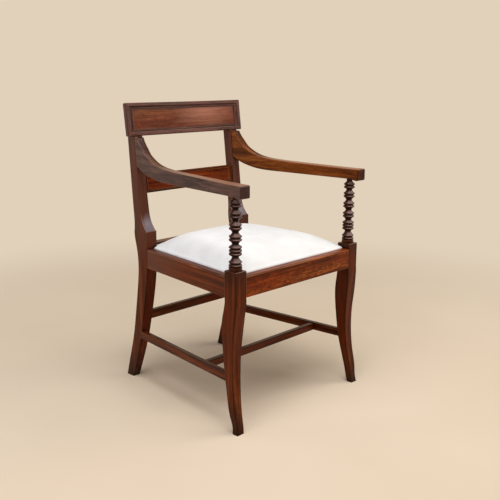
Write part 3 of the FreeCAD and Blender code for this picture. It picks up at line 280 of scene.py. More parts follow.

# %% Stains and polishes
# "dark", "body" and "light" stain the ribbons of the grain and "cloud" its red patches. "worn" is
# bare wood at a corner. The next tone is dirt in the hollows, deepened there with painted shade, and
# it also darkens the lines beside corners and the feet. "tint" and "index" are the colour and the
# refractive index of the polish.
finish_parts = ("dark", "body", "light", "cloud", "worn", "dirt_and_shade", "tint", "index", "roughness")
finishes = {
    "rail": ("#341407", "#5E250A", "#7C3E18", "#6A2708", "#BC7C4E", "#120501", "#FFB880", 1.24, 0.32),
    "leg": ("#240B03", "#521D07", "#743812", "#602207", "#AC6E44", "#080200", "#FFB880", 1.26, 0.25),
    "flecked": ("#421604", "#86380C", "#A85824", "#943A0C", "#BC7C4E", "#120501", "#FFB880", 1.24, 0.30),
    "crest": ("#38130A", "#66301A", "#86492C", "#6E2F1C", "#BC7C4E", "#120501", "#FFC896", 1.26, 0.27),
    "splat": ("#3E1103", "#662208", "#803912", "#74280A", "#BC7C4E", "#120501", "#FFB880", 1.24, 0.27),
    "bloomed": ("#200F0D", "#4A2A22", "#6C4236", "#562C24", "#8E6048", "#060100", "#EADCD6", 1.32, 0.28),
    # The next two finishes are lit and shaded copies for the arms: the greyer one darker, with a painted
    # sheen, the golden one brighter, as painted light.
    "greyed": ("#281A15", "#52382F", "#725446", "#5A3A2E", "#B48A6A", "#0B0402", "#E2E0EA", 1.34, 0.30),
    "golden": ("#3E1C08", "#6E3610", "#8C5022", "#783A12", "#C08A58", "#120501", "#FFC896", 1.24, 0.30),
}
print(len(finishes), "finishes:", *finishes)

# %% [markdown]
# ## Coats over the stain
# A restorer's eye reads an old surface as coats, one over the other. Each of the next functions
# makes one coat: its share, which says where it lies, and its tone. They are laid in order later.
# Painting each mark by hand would fix it to one view, so a coat is placed by what causes it: the
# grain, a height, the way a face looks, or a corner that hands and knees reach. Some coats are painted
# light: a patch of painted sheen, the lit and shaded tones of the wax, and painted shade in the hollows.

# %% Grain coats
def grain_coats(wood, patterns, tones, figure):
    # Dark streaks and pores and red clouds, and in a figured cut dark flecks as well.
    layers = [("streaks", [(0.36, 0.75), (0.52, 0.0)], "dark"),
              ("clouds", [(0.42, 0.0), (0.68, 0.7)], "cloud")]
    if figure:
        layers.append(("flecks", [(0.42, 0.0), (0.62, figure)], "dark"))
    layers.append(("pores", [(0.34, 0.5), (0.47, 0.0)], "dark"))
    return [(set_ramp(add(wood, "ShaderNodeValToRGB", {"Fac": patterns[pattern]}), stops),
             linear(tones[tone])) for pattern, stops, tone in layers]


def painted_sheen_and_bloom(wood, place, patterns, centre, reach, tone):
    # A patch round a place, with a soft and streaky edge: on the crest panel a painted reflection, on
    # the side rails a painted sheen and a grey bloom of the polish.
    spot = add(wood, "ShaderNodeMapping", {"Vector": place, "Location": centre, "Scale": reach},
               vector_type="TEXTURE").outputs["Vector"]
    away = add(wood, "ShaderNodeVectorMath", {0: spot}, operation="LENGTH").outputs["Value"]
    for pattern, weight in (("ribbons", 0.9), ("streaks", 1.6)):
        away = add(wood, "ShaderNodeMath", {0: patterns[pattern], 1: weight, 2: away},
                   operation="MULTIPLY_ADD").outputs["Value"]
    share = add(wood, "ShaderNodeMapRange", {"Value": away, "From Min": 1.25, "From Max": 2.45,
                                             "To Min": 0.85, "To Max": 0.0}).outputs["Result"]
    return share, linear(tone)


print("coats for the grain and for bleached patches")

# %% Wax that has turned grey, with painted light
# Its tone is painted light: palest, as a painted highlight and sheen, on what faces up and to the
# front, and darkest, as painted shade, on what faces down.
painted_light_side = (-0.25, -0.65, 0.72)


def wax_and_painted_light(wood, height, normal, low, high, most, shaded, side, top):
    # Above a height old wax has turned grey and purple over a nearly black polish.
    # The share by height is old wax; the tone by the way a face looks is painted shade and highlight.
    share = add(wood, "ShaderNodeMapRange", {"Value": height, "From Min": low, "From Max": high,
                                             "To Min": 0.0, "To Max": most}).outputs["Result"]
    facing = add(wood, "ShaderNodeVectorMath", {0: normal, 1: painted_light_side},
                 operation="DOT_PRODUCT").outputs["Value"]
    tone = set_ramp(add(wood, "ShaderNodeValToRGB", {"Fac": facing}),
                    [(0.05, shaded), (0.74, side), (0.92, top)])
    return share, tone


print("wax gathers towards", painted_light_side)

# %% [markdown]
# ## Corners and hollows
# Corners are found with an Ambient Occlusion node that looks inwards: close to an outer corner its
# rays soon meet the next face. One that looks outwards finds the hollows, where dirt stays, and
# there the dark tone is also painted shade. Both follow the shape by themselves, so a piece that
# changes needs no new mask.

# %% Worn corners
wear_reach = 1.2 * mm
line_reach = 5 * mm
dirt_and_shade_reach = 12 * mm


def worn_corners(wood, depth, patterns, reach, stop, tone):
    # Use rubs through the stain at the corners, unevenly. Behind the stop, a distance from the
    # front, nothing is worn: there a stretcher's shoulder laps over the leg, hidden from use.
    corner = add(wood, "ShaderNodeAmbientOcclusion", {"Distance": reach}, inside=True,
                 only_local=True, samples=8).outputs["AO"]
    corner = set_ramp(add(wood, "ShaderNodeValToRGB", {"Fac": corner}), [(0.50, 1.0), (0.86, 0.0)])
    rub = set_ramp(add(wood, "ShaderNodeValToRGB", {"Fac": patterns["clouds"]}),
                   [(0.30, 0.25), (0.60, 0.9)])
    share = add(wood, "ShaderNodeMath", {0: corner, 1: rub}, operation="MULTIPLY").outputs["Value"]
    if stop:
        used = add(wood, "ShaderNodeMath", {0: depth, 1: stop}, operation="LESS_THAN").outputs["Value"]
        share = add(wood, "ShaderNodeMath", {0: share, 1: used}, operation="MULTIPLY").outputs["Value"]
    return share, linear(tone)


def corner_lines(wood, height, below, tone):
    # Polish gathers in a dark line beside each corner, on a leg only below the turning.
    line = add(wood, "ShaderNodeAmbientOcclusion", {"Distance": line_reach}, inside=True,
               only_local=True, samples=8).outputs["AO"]
    line = set_ramp(add(wood, "ShaderNodeValToRGB", {"Fac": line}),
                    [(0.55, 0.0), (0.64, 0.75), (0.76, 0.75), (0.90, 0.0)])
    under = add(wood, "ShaderNodeMath", {0: height, 1: below}, operation="LESS_THAN").outputs["Value"]
    share = add(wood, "ShaderNodeMath", {0: line, 1: under}, operation="MULTIPLY").outputs["Value"]
    return share, linear(tone)


def hollow_dirt_and_shade(wood, tone):
    # The hollows are darkened with dirt and with painted shade, most in narrow grooves.
    grime_and_shade = add(wood, "ShaderNodeAmbientOcclusion", {"Distance": dirt_and_shade_reach}, samples=8).outputs["AO"]
    share = set_ramp(add(wood, "ShaderNodeValToRGB", {"Fac": grime_and_shade}), [(0.36, 0.95), (0.84, 0.0)])
    return share, linear(tone)


print("corners worn", round(wear_reach / mm, 1), "mm deep")

# %% [markdown]
# ## Marks of hands, knees and feet
# The front and side rails are rubbed pale along their upper arris and the arms on their level
# tops, the hand ends of the arms stay dark, and the feet are dark from wet floors. Each mark is
# placed by a height, a depth or the way a face looks.

# %% Marks of use
scuff_heights = (8 * mm, 95 * mm)


def rubbed_arris(wood, height, patterns, arris, tone):
    # The arris is a band between two heights, rubbed unevenly along its length.
    band = add(wood, "ShaderNodeMapRange", {"Value": height, "From Min": arris[0],
                                            "From Max": arris[1]}).outputs["Result"]
    band = set_ramp(add(wood, "ShaderNodeValToRGB", {"Fac": band}),
                    [(0.0, 0.0), (0.35, 0.55), (0.7, 0.55), (1.0, 0.0)])
    rubbed = set_ramp(add(wood, "ShaderNodeValToRGB", {"Fac": patterns["streaks"]}),
                      [(0.40, 0.15), (0.58, 1.0)])
    share = add(wood, "ShaderNodeMath", {0: band, 1: rubbed}, operation="MULTIPLY").outputs["Value"]
    return share, linear(tone)


def handled_top(wood, depth, facing_up, level_until, swept_at, tone):
    # Hands and sleeves rub the arm's level top, and less where it sweeps up to the back.
    up = set_ramp(add(wood, "ShaderNodeValToRGB", {"Fac": facing_up}), [(0.62, 0.0), (0.92, 0.72)])
    handled = add(wood, "ShaderNodeMapRange", {
        "Value": depth, "From Min": level_until, "From Max": swept_at,
        "To Min": 1.0, "To Max": 0.2}).outputs["Result"]
    share = add(wood, "ShaderNodeMath", {0: up, 1: handled}, operation="MULTIPLY").outputs["Value"]
    return share, linear(tone)


def stained_end(wood, facing_back, tone):
    # The end grain at the hand end drinks stain and stays dark and red.
    share = add(wood, "ShaderNodeMapRange", {"Value": facing_back, "From Min": -0.55, "From Max": -0.85,
                                             "To Min": 0.0, "To Max": 0.8}).outputs["Result"]
    return share, linear(tone)


def scuffed_foot(wood, height, tone):
    # Dark at the floor, and less so up to the second height.
    share = add(wood, "ShaderNodeMapRange", {"Value": height, "From Min": scuff_heights[0],
                                             "From Max": scuff_heights[1], "To Min": 0.75,
                                             "To Max": 0.0}).outputs["Result"]
    return share, linear(tone)


print("feet scuffed up to", round(scuff_heights[1] / mm), "mm")

# %% [markdown]
# ## French polish
# Shellac and wax give a clear skin with a soft shine. It is uneven: duller where the colour clouds,
# shinier under old wax, and dull with dust on the narrow top edges of the back. Faint dents and the
# open pores break the reflections, which a bump does without more faces.

# %% Polish
def polished(wood, colour, patterns, tones, wax_share, dusty_top):
    roughness = tones["roughness"]
    gloss = add(wood, "ShaderNodeMapRange", {
        "Value": patterns["clouds"], "From Min": 0.3, "From Max": 0.7,
        "To Min": roughness - 0.05, "To Max": roughness + 0.12}).outputs["Result"]
    if wax_share:
        gloss = add(wood, "ShaderNodeMath", {0: wax_share, 1: -0.10, 2: gloss},
                    operation="MULTIPLY_ADD").outputs["Value"]
    if dusty_top:
        dust = set_ramp(add(wood, "ShaderNodeValToRGB", {"Fac": dusty_top}), [(0.85, 0.0), (0.96, 0.5)])
        gloss = add(wood, "ShaderNodeMath", {0: gloss, 1: dust}, operation="ADD").outputs["Value"]
    waves = add(wood, "ShaderNodeBump", {"Height": patterns["dents"], "Strength": 0.25,
                                         "Distance": 1.2 * mm}).outputs["Normal"]
    grain_bump = add(wood, "ShaderNodeBump", {"Height": patterns["pores"], "Strength": 0.22,
                                              "Distance": 0.25 * mm, "Normal": waves}).outputs["Normal"]
    return give_surface(wood, {
        "Base Color": colour, "Roughness": gloss, "Normal": grain_bump,
        "IOR": tones["index"], "Specular Tint": linear(tones["tint"]),
        "Coat Weight": 0.04, "Coat Roughness": 0.12, "Coat IOR": 1.45})


print("polish roughness", [finish[-1] for finish in finishes.values()])

# %% One board of mahogany
def mahogany(name, finish, grain, shift, splay=0.0, figure=0.0, sheen_and_bloom_patch=None, wax_and_light=None, arris=None,
             lined_below=None, veneer=False, reach=wear_reach, wear_stop=None, handled=None,
             end_tone=None, foot=False, dusty=False):
    tones = dict(zip(finish_parts, finishes[finish]))
    wood = new_material(name)
    place = add(wood, "ShaderNodeTexCoord").outputs["Object"]
    normal = add(wood, "ShaderNodeNewGeometry").outputs["Normal"]
    spot = add(wood, "ShaderNodeSeparateXYZ", {"Vector": place}).outputs
    facing = add(wood, "ShaderNodeSeparateXYZ", {"Vector": normal}).outputs
    turn = Vector(grain_turns[grain]) + Vector((0, 0, splay))
    patterns = {pattern: fibre_noise(wood, place, shift, turn, size, **noise)
                for pattern, (size, noise) in mahogany_patterns.items()
                if figure or pattern != "flecks"}

    coats = grain_coats(wood, patterns, tones, figure)
    if sheen_and_bloom_patch:
        coats.append(painted_sheen_and_bloom(wood, place, patterns, **sheen_and_bloom_patch))
    wax_share = None
    if wax_and_light:
        coats.append(wax_and_painted_light(wood, spot["Z"], normal, **wax_and_light))
        wax_share = coats[-1][0]
    if arris:
        coats.append(rubbed_arris(wood, spot["Z"], patterns, arris, tones["worn"]))
    if lined_below:
        coats.append(corner_lines(wood, spot["Z"], lined_below, tones["dirt_and_shade"]))
    if not veneer:
        # A thin veneer would be worn all over, as all of it is near a corner.
        coats.append(worn_corners(wood, spot["Y"], patterns, reach, wear_stop, tones["worn"]))
    if handled:
        coats.append(handled_top(wood, spot["Y"], facing["Z"], **handled))
    if end_tone:
        coats.append(stained_end(wood, facing["Y"], end_tone))
    coats.append(hollow_dirt_and_shade(wood, tones["dirt_and_shade"]))
    if foot:
        coats.append(scuffed_foot(wood, spot["Z"], tones["dirt_and_shade"]))

    colour = set_ramp(add(wood, "ShaderNodeValToRGB", {"Fac": patterns["ribbons"]}),
                      [(0.39, tones["dark"]), (0.50, tones["body"]), (0.62, tones["light"])])
    for share, tone in coats:
        colour = add(wood, "ShaderNodeMix", {"Factor": share, "A": colour, "B": tone},
                     data_type="RGBA").outputs["Result"]
    return polished(wood, colour, patterns, tones, wax_share, facing["Z"] if dusty else None)


def dress(node, material):
    # A CAD piece keeps its mesh and takes the material in its own slot.
    nodes[node].data.materials.clear()
    nodes[node].data.materials.append(material)


print("a board may be finished in", len(finishes), "ways")

# %% [markdown]
# ## Finishing the wooden pieces
# The grain follows how each piece was sawn: along the rails and stretchers, up the legs, along the
# arms. The crest and mid rail have red panels inside darker mouldings, and the front rail is
# veneered in a flecked cut of the same wood. Each recipe says only what sets a piece apart.

# %% Finish the pieces that come in pairs
rail_splay = math.radians(6.46)
rail_arris = (0.4262, 0.4308)
board_step = 0.37
# The near left arm takes the darker, greyer finish as painted shade with a painted sheen, the right arm the
# brighter golden one as painted light.
arm_lit_and_shaded_finishes = {"left": "greyed", "right": "golden"}

# Heights, depths and places are in metres, in the chair's own axes.
paired_pieces = {
    # The legs' wax tones are painted light: painted shade under the rings, and on top a painted highlight
    # on the front legs and a painted bluish sheen on the back legs' facets.
    "front_leg": dict(finish="leg", grain="Z", foot=True, lined_below=0.436,
                      wax_and_light=dict(low=0.39, high=0.47, most=0.85, shaded="#0E0505", side="#301C19",
                               top="#8A7674")),
    "back_leg": dict(finish="leg", grain="Z", foot=True, lined_below=0.43,
                     wax_and_light=dict(low=0.38, high=0.50, most=0.70, shaded="#5A382E", side="#54342C",
                              top="#84808A")),
    "arm": dict(grain="Y", end_tone="#2E0A06", reach=2.4 * mm,
                handled=dict(level_until=-0.06, swept_at=0.10, tone="#8A5C42")),
    "side_stretcher": dict(finish="leg", grain="Y", splay=rail_splay, wear_stop=0.192, lined_below=0.3),
    # The greyer patch at the back of each side rail is a painted sheen and a grey bloom of the polish.
    "seat_rail": dict(finish="rail", grain="Y", splay=rail_splay, arris=rail_arris,
                      sheen_and_bloom_patch=dict(centre=(0.0, 0.13, 0.405), reach=(0.5, 0.16, 0.08), tone="#523E38")),
}
board_shift = 0.0
for piece, recipe in paired_pieces.items():
    for side, hand in (("left", -1), ("right", 1)):
        board_shift += board_step
        settings = dict(recipe)
        settings["splay"] = settings.get("splay", 0.0) * hand
        settings.setdefault("finish", arm_lit_and_shaded_finishes[side])
        dress(f"{piece}_{side}", mahogany(f"mahogany_{piece}_{side}",
                                          shift=(board_shift, board_shift * 0.6, 0.2), **settings))
        print(piece, side, settings["finish"])

# %% Finish the pieces that stand alone
single_pieces = {
    "seat_rail_front": dict(finish="flecked", grain="X", figure=0.75, arris=rail_arris),
    "seat_rail_back": dict(finish="rail", grain="X"),
    "cross_stretcher": dict(finish="leg", grain="X", lined_below=0.3),
    "rear_stretcher": dict(finish="leg", grain="X", lined_below=0.3),
    "crest_rail": dict(finish="bloomed", grain="X", dusty=True),
    # The pale patch on the crest panel is a painted reflection.
    "crest_panel": dict(finish="crest", grain="X", figure=0.5, veneer=True,
                        sheen_and_bloom_patch=dict(centre=(0.08, 0.2, 0.827), reach=(0.12, 0.2, 0.045), tone="#A8705C")),
    "mid_rail": dict(finish="leg", grain="X", dusty=True),
    "mid_rail_panel": dict(finish="splat", grain="X", figure=0.35, veneer=True),
    "arm_screw_plugs": dict(finish="leg", grain="X"),
}
moulding_finishes = {"crest": "bloomed", "mid_rail": "leg"}
for board, finish in moulding_finishes.items():
    for edge, grain in (("top", "X"), ("bottom", "X"), ("left", "Z"), ("right", "Z")):
        single_pieces[f"{board}_moulding_{edge}"] = dict(finish=finish, grain=grain)
for piece, recipe in single_pieces.items():
    board_shift += board_step
    dress(piece, mahogany("mahogany_" + piece, shift=(board_shift, 0.1, board_shift * 0.7), **recipe))
    print(piece, recipe["finish"])

# %% [markdown]
# ## Inside the seat
# The loose seat's frame and the corner blocks are of beech, a pale plain wood with short fine
# flecks, left bare from the saw. Age turns it the colour of weak tea. Nobody touches it, so it
# needs no coats of wear.

# %% Beech
beech_ring_size = (300 * mm, 9 * mm, 9 * mm)
beech_fleck_size = (7 * mm, 1.1 * mm, 1.1 * mm)


def beech(name, grain, shift):
    wood = new_material(name)
    place = add(wood, "ShaderNodeTexCoord").outputs["Object"]
    turn = grain_turns[grain]
    rings = fibre_noise(wood, place, shift, turn, beech_ring_size, Detail=3.0)
    flecks = fibre_noise(wood, place, shift, turn, beech_fleck_size, Detail=1.0)
    colour = set_ramp(add(wood, "ShaderNodeValToRGB", {"Fac": rings}),
                      [(0.3, "#9C7650"), (0.5, "#B48C62"), (0.72, "#C49E74")])
    specks = set_ramp(add(wood, "ShaderNodeValToRGB", {"Fac": flecks}), [(0.60, 0.0), (0.72, 0.55)])
    colour = add(wood, "ShaderNodeMix", {"Factor": specks, "A": colour, "B": linear("#7E5836")},
                 data_type="RGBA").outputs["Result"]
    rough = add(wood, "ShaderNodeMapRange", {"Value": rings, "To Min": 0.55,
                                             "To Max": 0.8}).outputs["Result"]
    saw = add(wood, "ShaderNodeBump", {"Height": flecks, "Strength": 0.3,
                                       "Distance": 0.3 * mm}).outputs["Normal"]
    return give_surface(wood, {"Base Color": colour, "IOR": 1.5, "Roughness": rough, "Normal": saw})


beech_pieces = {f"corner_block_{end}_{side}": "X" for end in ("front", "back")
                for side in ("left", "right")}
beech_pieces.update(seat_frame_front="X", seat_frame_back="X", seat_frame_left="Y",
                    seat_frame_right="Y")
for index, (piece, grain) in enumerate(beech_pieces.items()):
    dress(piece, beech("beech_" + piece, grain, (0.31 * index, 0.17 * index, 0.0)))
print(len(beech_pieces), "pieces of beech")

# %% [markdown]
# ## Steel screws and iron tacks
# Hand-driven wood screws are turned from steel and go brown-grey and dull. Upholstery tacks are
# cut from blued iron, nearly black. Both are metals, so the colour is in the reflection, and
# tarnish is a second, rougher colour in spots.

# %% Metals
def old_metal(name, bright, dull, roughness, spot_size):
    metal = new_material(name)
    place = add(metal, "ShaderNodeTexCoord").outputs["Object"]
    spots = add(metal, "ShaderNodeTexNoise", {"Vector": place, "Scale": 1 / spot_size, "Detail": 3.0,
                                              "Roughness": 0.6}).outputs["Fac"]
    colour = set_ramp(add(metal, "ShaderNodeValToRGB", {"Fac": spots}), [(0.40, bright), (0.62, dull)])
    rough = add(metal, "ShaderNodeMapRange", {
        "Value": spots, "From Min": 0.35, "From Max": 0.65,
        "To Min": roughness, "To Max": roughness + 0.25}).outputs["Result"]
    pits = add(metal, "ShaderNodeBump", {"Height": spots, "Strength": 0.3,
                                         "Distance": 0.1 * mm}).outputs["Normal"]
    return give_surface(metal, {"Base Color": colour, "Metallic": 1.0, "Roughness": rough,
                                "Normal": pits})


screw_steel = old_metal("old_screw_steel", "#8A857C", "#5A4A3C", 0.38, 2.5 * mm)
tack_iron = old_metal("blued_tack_iron", "#3A3B42", "#2A211C", 0.35, 1.5 * mm)
metal_pieces = {"arm_screws": screw_steel, "crest_screws": screw_steel,
                "corner_block_screws": screw_steel, "cover_tacks": tack_iron}
for piece, metal in metal_pieces.items():
    dress(piece, metal)
print(len(metal_pieces), "pieces of metal")

# %% [markdown]
# ## A helper for new pieces
# The frame brings the hard pieces. The soft ones are made here. A finished mesh becomes an object
# at the origin, takes its material and rides on its body.

# %% Helper for new pieces
def as_object(name, mesh):
    data = bpy.data.meshes.new(name)
    mesh.to_mesh(data)
    mesh.free()
    made = bpy.data.objects.new(name, data)
    bpy.context.scene.collection.objects.link(made)
    return made


def new_piece(name, mesh, material, body):
    piece = as_object(name, mesh)
    piece.data.materials.append(material)
    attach(piece, body)
    print(name, len(piece.data.polygons), "faces")
    return piece


# %% [markdown]
# ## Jute webbing
# Four straps run from front to back and four across, tacked to the top of the frame and woven over
# and under each other, which is what lets a seat carry a sitter without one strap taking the load.
# The CAD part lays them in two plain layers. Here each strap is a strip that rises and dips. A
# cloth simulation could weave them too, but a cosine along the strip does it exactly.

# %% Threads of a plain weave
def crossed_threads(cloth, place, scales, ways, joined, wobble):
    # Bands one way and bands the other, joined by multiplying them or taking the higher one. A
    # band texture of scale 1 repeats every 314 mm, so scale 100 draws a thread every 3.1 mm.
    bands = [add(cloth, "ShaderNodeTexWave", {"Vector": place, "Scale": scale, **wobble},
                 wave_type="BANDS", bands_direction=way).outputs["Fac"]
             for scale, way in zip(scales, ways)]
    return add(cloth, "ShaderNodeMath", {0: bands[0], 1: bands[1]}, operation=joined).outputs["Value"]


print("scale 100 draws threads", round(math.pi / 10 / 100 / mm, 1), "mm apart")

# %% Webbing cloth
# Jute is dry and hairy, so the eye sees straw-coloured threads without any shine. Real threads are
# 1.5 mm apart. They are drawn coarser so that they show in the render: those that run along the
# strap 3 mm apart and those across it 4 mm apart.
jute_warp_scale = 105.0
jute_weft_scale = 78.0


def webbing_cloth(name, along, across):
    jute = new_material(name)
    place = add(jute, "ShaderNodeTexCoord").outputs["Object"]
    weave = crossed_threads(jute, place, (jute_warp_scale, jute_weft_scale), (across, along), "MULTIPLY",
                            {"Distortion": 0.6, "Detail": 1.0, "Detail Scale": 40.0})
    colour = set_ramp(add(jute, "ShaderNodeValToRGB", {"Fac": weave}),
                      [(0.05, "#6E5636"), (0.45, "#A68858"), (0.9, "#C0A474")])
    # Slubs, the thick places of a thread, are about 11 mm long.
    slubs = add(jute, "ShaderNodeTexNoise", {"Vector": place, "Scale": 90.0, "Detail": 2.0}).outputs["Fac"]
    slubs = set_ramp(add(jute, "ShaderNodeValToRGB", {"Fac": slubs}),
                     [(0.35, "#8C6E44"), (0.65, "#CDB488")])
    colour = add(jute, "ShaderNodeMix", {"Factor": 0.35, "A": colour, "B": slubs},
                 data_type="RGBA").outputs["Result"]
    # A dark stripe runs near each edge of the strap, as in most webbing.
    stripe = add(jute, "ShaderNodeAttribute", attribute_name="strap_edge").outputs["Fac"]
    stripe = set_ramp(add(jute, "ShaderNodeValToRGB", {"Fac": stripe}),
                      [(0.60, 0.0), (0.64, 0.9), (0.74, 0.9), (0.78, 0.0)])
    colour = add(jute, "ShaderNodeMix", {"Factor": stripe, "A": colour, "B": linear("#4A3226")},
                 data_type="RGBA").outputs["Result"]
    bump = add(jute, "ShaderNodeBump", {"Height": weave, "Strength": 0.6,
                                        "Distance": 0.5 * mm}).outputs["Normal"]
    return give_surface(jute, {"Base Color": colour, "Roughness": 0.88, "Normal": bump})


webbing_along = webbing_cloth("jute_webbing_lengthwise", "Y", "X")
webbing_across = webbing_cloth("jute_webbing_crosswise", "X", "Y")
print("webbing cloth:", webbing_along.name, webbing_across.name)

# %% Where the straps lie
webbing_width = 50 * mm
webbing_thickness = 1.3 * mm
lengthwise_spacing = 76 * mm
crosswise_spacing = 74 * mm
strap_count = 4

along_low, along_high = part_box("webbing_lengthwise")
across_low, across_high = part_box("webbing_crosswise")
strap_middle = (along_low.z + across_high.z) / 2
webbing_middle_y = (along_low.y + along_high.y) / 2


def spaced(middle, spacing):
    return [middle + (i - (strap_count - 1) / 2) * spacing for i in range(strap_count)]


lengthwise_x = spaced(0.0, lengthwise_spacing)
crosswise_y = spaced(webbing_middle_y, crosswise_spacing)
print("straps at x", [round(x, 3) for x in lengthwise_x], "and y", [round(y, 3) for y in crosswise_y])

# %% One woven strap
strap_rise = 0.75 * mm
strap_cuts_along = 96
strap_cuts_across = 7
# Past the last crossing the weave dies away over a quarter of the spacing.
fade_length = 0.25
end_drop = strap_middle - along_low.z - webbing_thickness / 2


def strap(start, end, width_way, crossings, first_over):
    # A strip of quads, then raised or dipped at each crossing, then given its thickness.
    mesh = bmesh.new()
    half = Vector(width_way) * webbing_width / 2
    corners = [mesh.verts.new(p) for p in (start - half, start + half, end + half, end - half)]
    mesh.faces.new(corners)
    for way, cuts in ((end - start, strap_cuts_along), (half, strap_cuts_across)):
        edges = [e for e in mesh.edges if abs((e.verts[0].co - e.verts[1].co).dot(way)) > 1e-9]
        bmesh.ops.subdivide_edges(mesh, edges=edges, cuts=cuts, use_grid_fill=True)
    direction = (end - start).normalized()
    spacing = crossings[1] - crossings[0]
    sign = 1 if first_over else -1
    for vertex in mesh.verts:
        phase = (vertex.co.dot(direction) - crossings[0]) / spacing
        past_end = max(-0.5 - phase, phase - (len(crossings) - 0.5), 0.0)
        fade = max(0.0, 1 - past_end / fade_length)
        vertex.co.z += sign * strap_rise * math.cos(math.pi * phase) * fade
        vertex.co.z -= end_drop * (1 - fade)
    bmesh.ops.recalc_face_normals(mesh, faces=mesh.faces)
    bmesh.ops.solidify(mesh, geom=mesh.faces[:], thickness=webbing_thickness)
    # 0 along the strap's middle and 1 at its edges, for the material's stripes.
    edge_layer = mesh.verts.layers.float.new("strap_edge")
    for vertex in mesh.verts:
        vertex[edge_layer] = abs((vertex.co - start).dot(half)) / half.length_squared
    bmesh.ops.recalc_face_normals(mesh, faces=mesh.faces)
    return mesh


print("straps rise and dip", round(strap_rise / mm, 2), "mm")

# %% Weave the straps
for index, x in enumerate(lengthwise_x):
    mesh = strap(Vector((x, along_low.y, strap_middle)), Vector((x, along_high.y, strap_middle)),
                 (1, 0, 0), crosswise_y, index % 2 == 0)
    new_piece(f"webbing_strap_lengthwise_{index + 1}", mesh, webbing_along,
                            "drop_in_seat")
for index, y in enumerate(crosswise_y):
    reach = across_high.x - (y - crosswise_y[0]) * math.tan(rail_splay)
    mesh = strap(Vector((-reach, y, strap_middle)), Vector((reach, y, strap_middle)),
                 (0, 1, 0), lengthwise_x, index % 2 == 1)
    new_piece(f"webbing_strap_crosswise_{index + 1}", mesh, webbing_across,
                            "drop_in_seat")
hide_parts("webbing_lengthwise", "webbing_crosswise")

# %% [markdown]
# ## Hessian
# Over the webbing goes a sheet of hessian, an open plain weave of jute that keeps the stuffing in.
# It is stretched and tacked at its edges, and sinks a little between the straps. From below it
# shows in the squares that the webbing leaves open. Pulled tight it has no folds to simulate, so a
# flat sheet of small squares with a slight sag is enough.

# %% Hessian cloth
# The dark gaps between its loose threads make hessian look coarse. Real threads are 2 mm apart.
# They are drawn 4 mm apart so that they show in the render.
hessian_thread_scale = 80.0

jute = new_material("hessian_open_weave")
place = add(jute, "ShaderNodeTexCoord").outputs["Object"]
weave = crossed_threads(jute, place, (hessian_thread_scale, hessian_thread_scale), ("X", "Y"), "MAXIMUM",
                        {"Distortion": 0.8, "Detail": 2.0, "Detail Scale": 30.0})
colour = set_ramp(add(jute, "ShaderNodeValToRGB", {"Fac": weave}),
                  [(0.25, "#3A2E1E"), (0.55, "#9A8058"), (0.95, "#B89C6E")])
bump = add(jute, "ShaderNodeBump", {"Height": weave, "Strength": 0.7,
                                    "Distance": 0.4 * mm}).outputs["Normal"]
give_surface(jute, {"Base Color": colour, "Roughness": 0.92, "Normal": bump})
print("hessian cloth:", jute.name)

# %% Hessian sheet
hessian_sag = 1.2 * mm
hessian_cuts = 70
# The sheet leaves a strap's edge and reaches its full sag this far away.
sag_reach = 12 * mm

hessian_low, hessian_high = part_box("seat_hessian")
hessian_height = (hessian_low.z + hessian_high.z) / 2
hessian_length = hessian_high.y - hessian_low.y
hessian_back = hessian_high.x - hessian_length * math.tan(rail_splay)
hessian_mesh = bmesh.new()
corners = [(-hessian_high.x, hessian_low.y), (hessian_high.x, hessian_low.y),
           (hessian_back, hessian_high.y), (-hessian_back, hessian_high.y)]
hessian_mesh.faces.new([hessian_mesh.verts.new((x, y, hessian_height)) for x, y in corners])
bmesh.ops.subdivide_edges(hessian_mesh, edges=hessian_mesh.edges[:], cuts=hessian_cuts,
                          use_grid_fill=True)


def open_share(value, centres):
    # 0 over a strap and 1 well away from every strap.
    nearest = min(abs(value - centre) for centre in centres)
    return max(0.0, min(1.0, (nearest - webbing_width / 2) / sag_reach))


for vertex in hessian_mesh.verts:
    sink = open_share(vertex.co.x, lengthwise_x) * open_share(vertex.co.y, crosswise_y)
    # The last factors ease the sag in and out.
    vertex.co.z -= hessian_sag * sink * sink * (3 - 2 * sink)
hessian = new_piece("hessian_sheet", hessian_mesh, jute, "drop_in_seat")
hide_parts("seat_hessian")

# %% [markdown]
# ## The stuffed seat
# Curled hair is heaped on the hessian, and a calico cover is drawn over it, round the frame and
# tacked underneath. A drawn cover bulges where nothing holds it and is flat where it is nailed, and
# its height dies away in the corners. That is what cloth does under pressure, so Blender's cloth
# simulation makes it: a slightly low seat is remeshed into even squares, its rim is pinned, and
# pressure from inside lifts the top.

# %% Outline of the seat
cover_thickness = 1.0 * mm
front_corner_x = 216.0 * mm
front_notch_y = -219.5 * mm
back_corner_x = 175.3 * mm
back_notch_y = 152.5 * mm

cover_low, cover_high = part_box("seat_cover")
side_front_x = cover_high.x - cover_thickness
side_back_x = side_front_x - (back_notch_y - front_notch_y) * math.tan(rail_splay)
seat_front_y = cover_low.y + cover_thickness
seat_back_y = cover_high.y - cover_thickness


def seat_outline(grow):
    # The right half from front to back, notched round the legs, then the left half back again.
    # The last two numbers of a point say which way it moves when the outline grows.
    right = [(front_corner_x, seat_front_y, 1, -1), (front_corner_x, front_notch_y, 1, -1),
             (side_front_x, front_notch_y, 1, -1), (side_back_x, back_notch_y, 1, 1),
             (back_corner_x, back_notch_y, 1, 1), (back_corner_x, seat_back_y, 1, 1)]
    points = [(x + grow * sx, y + grow * sy) for x, y, sx, sy in right]
    return points + [(-x, y) for x, y in reversed(points)]


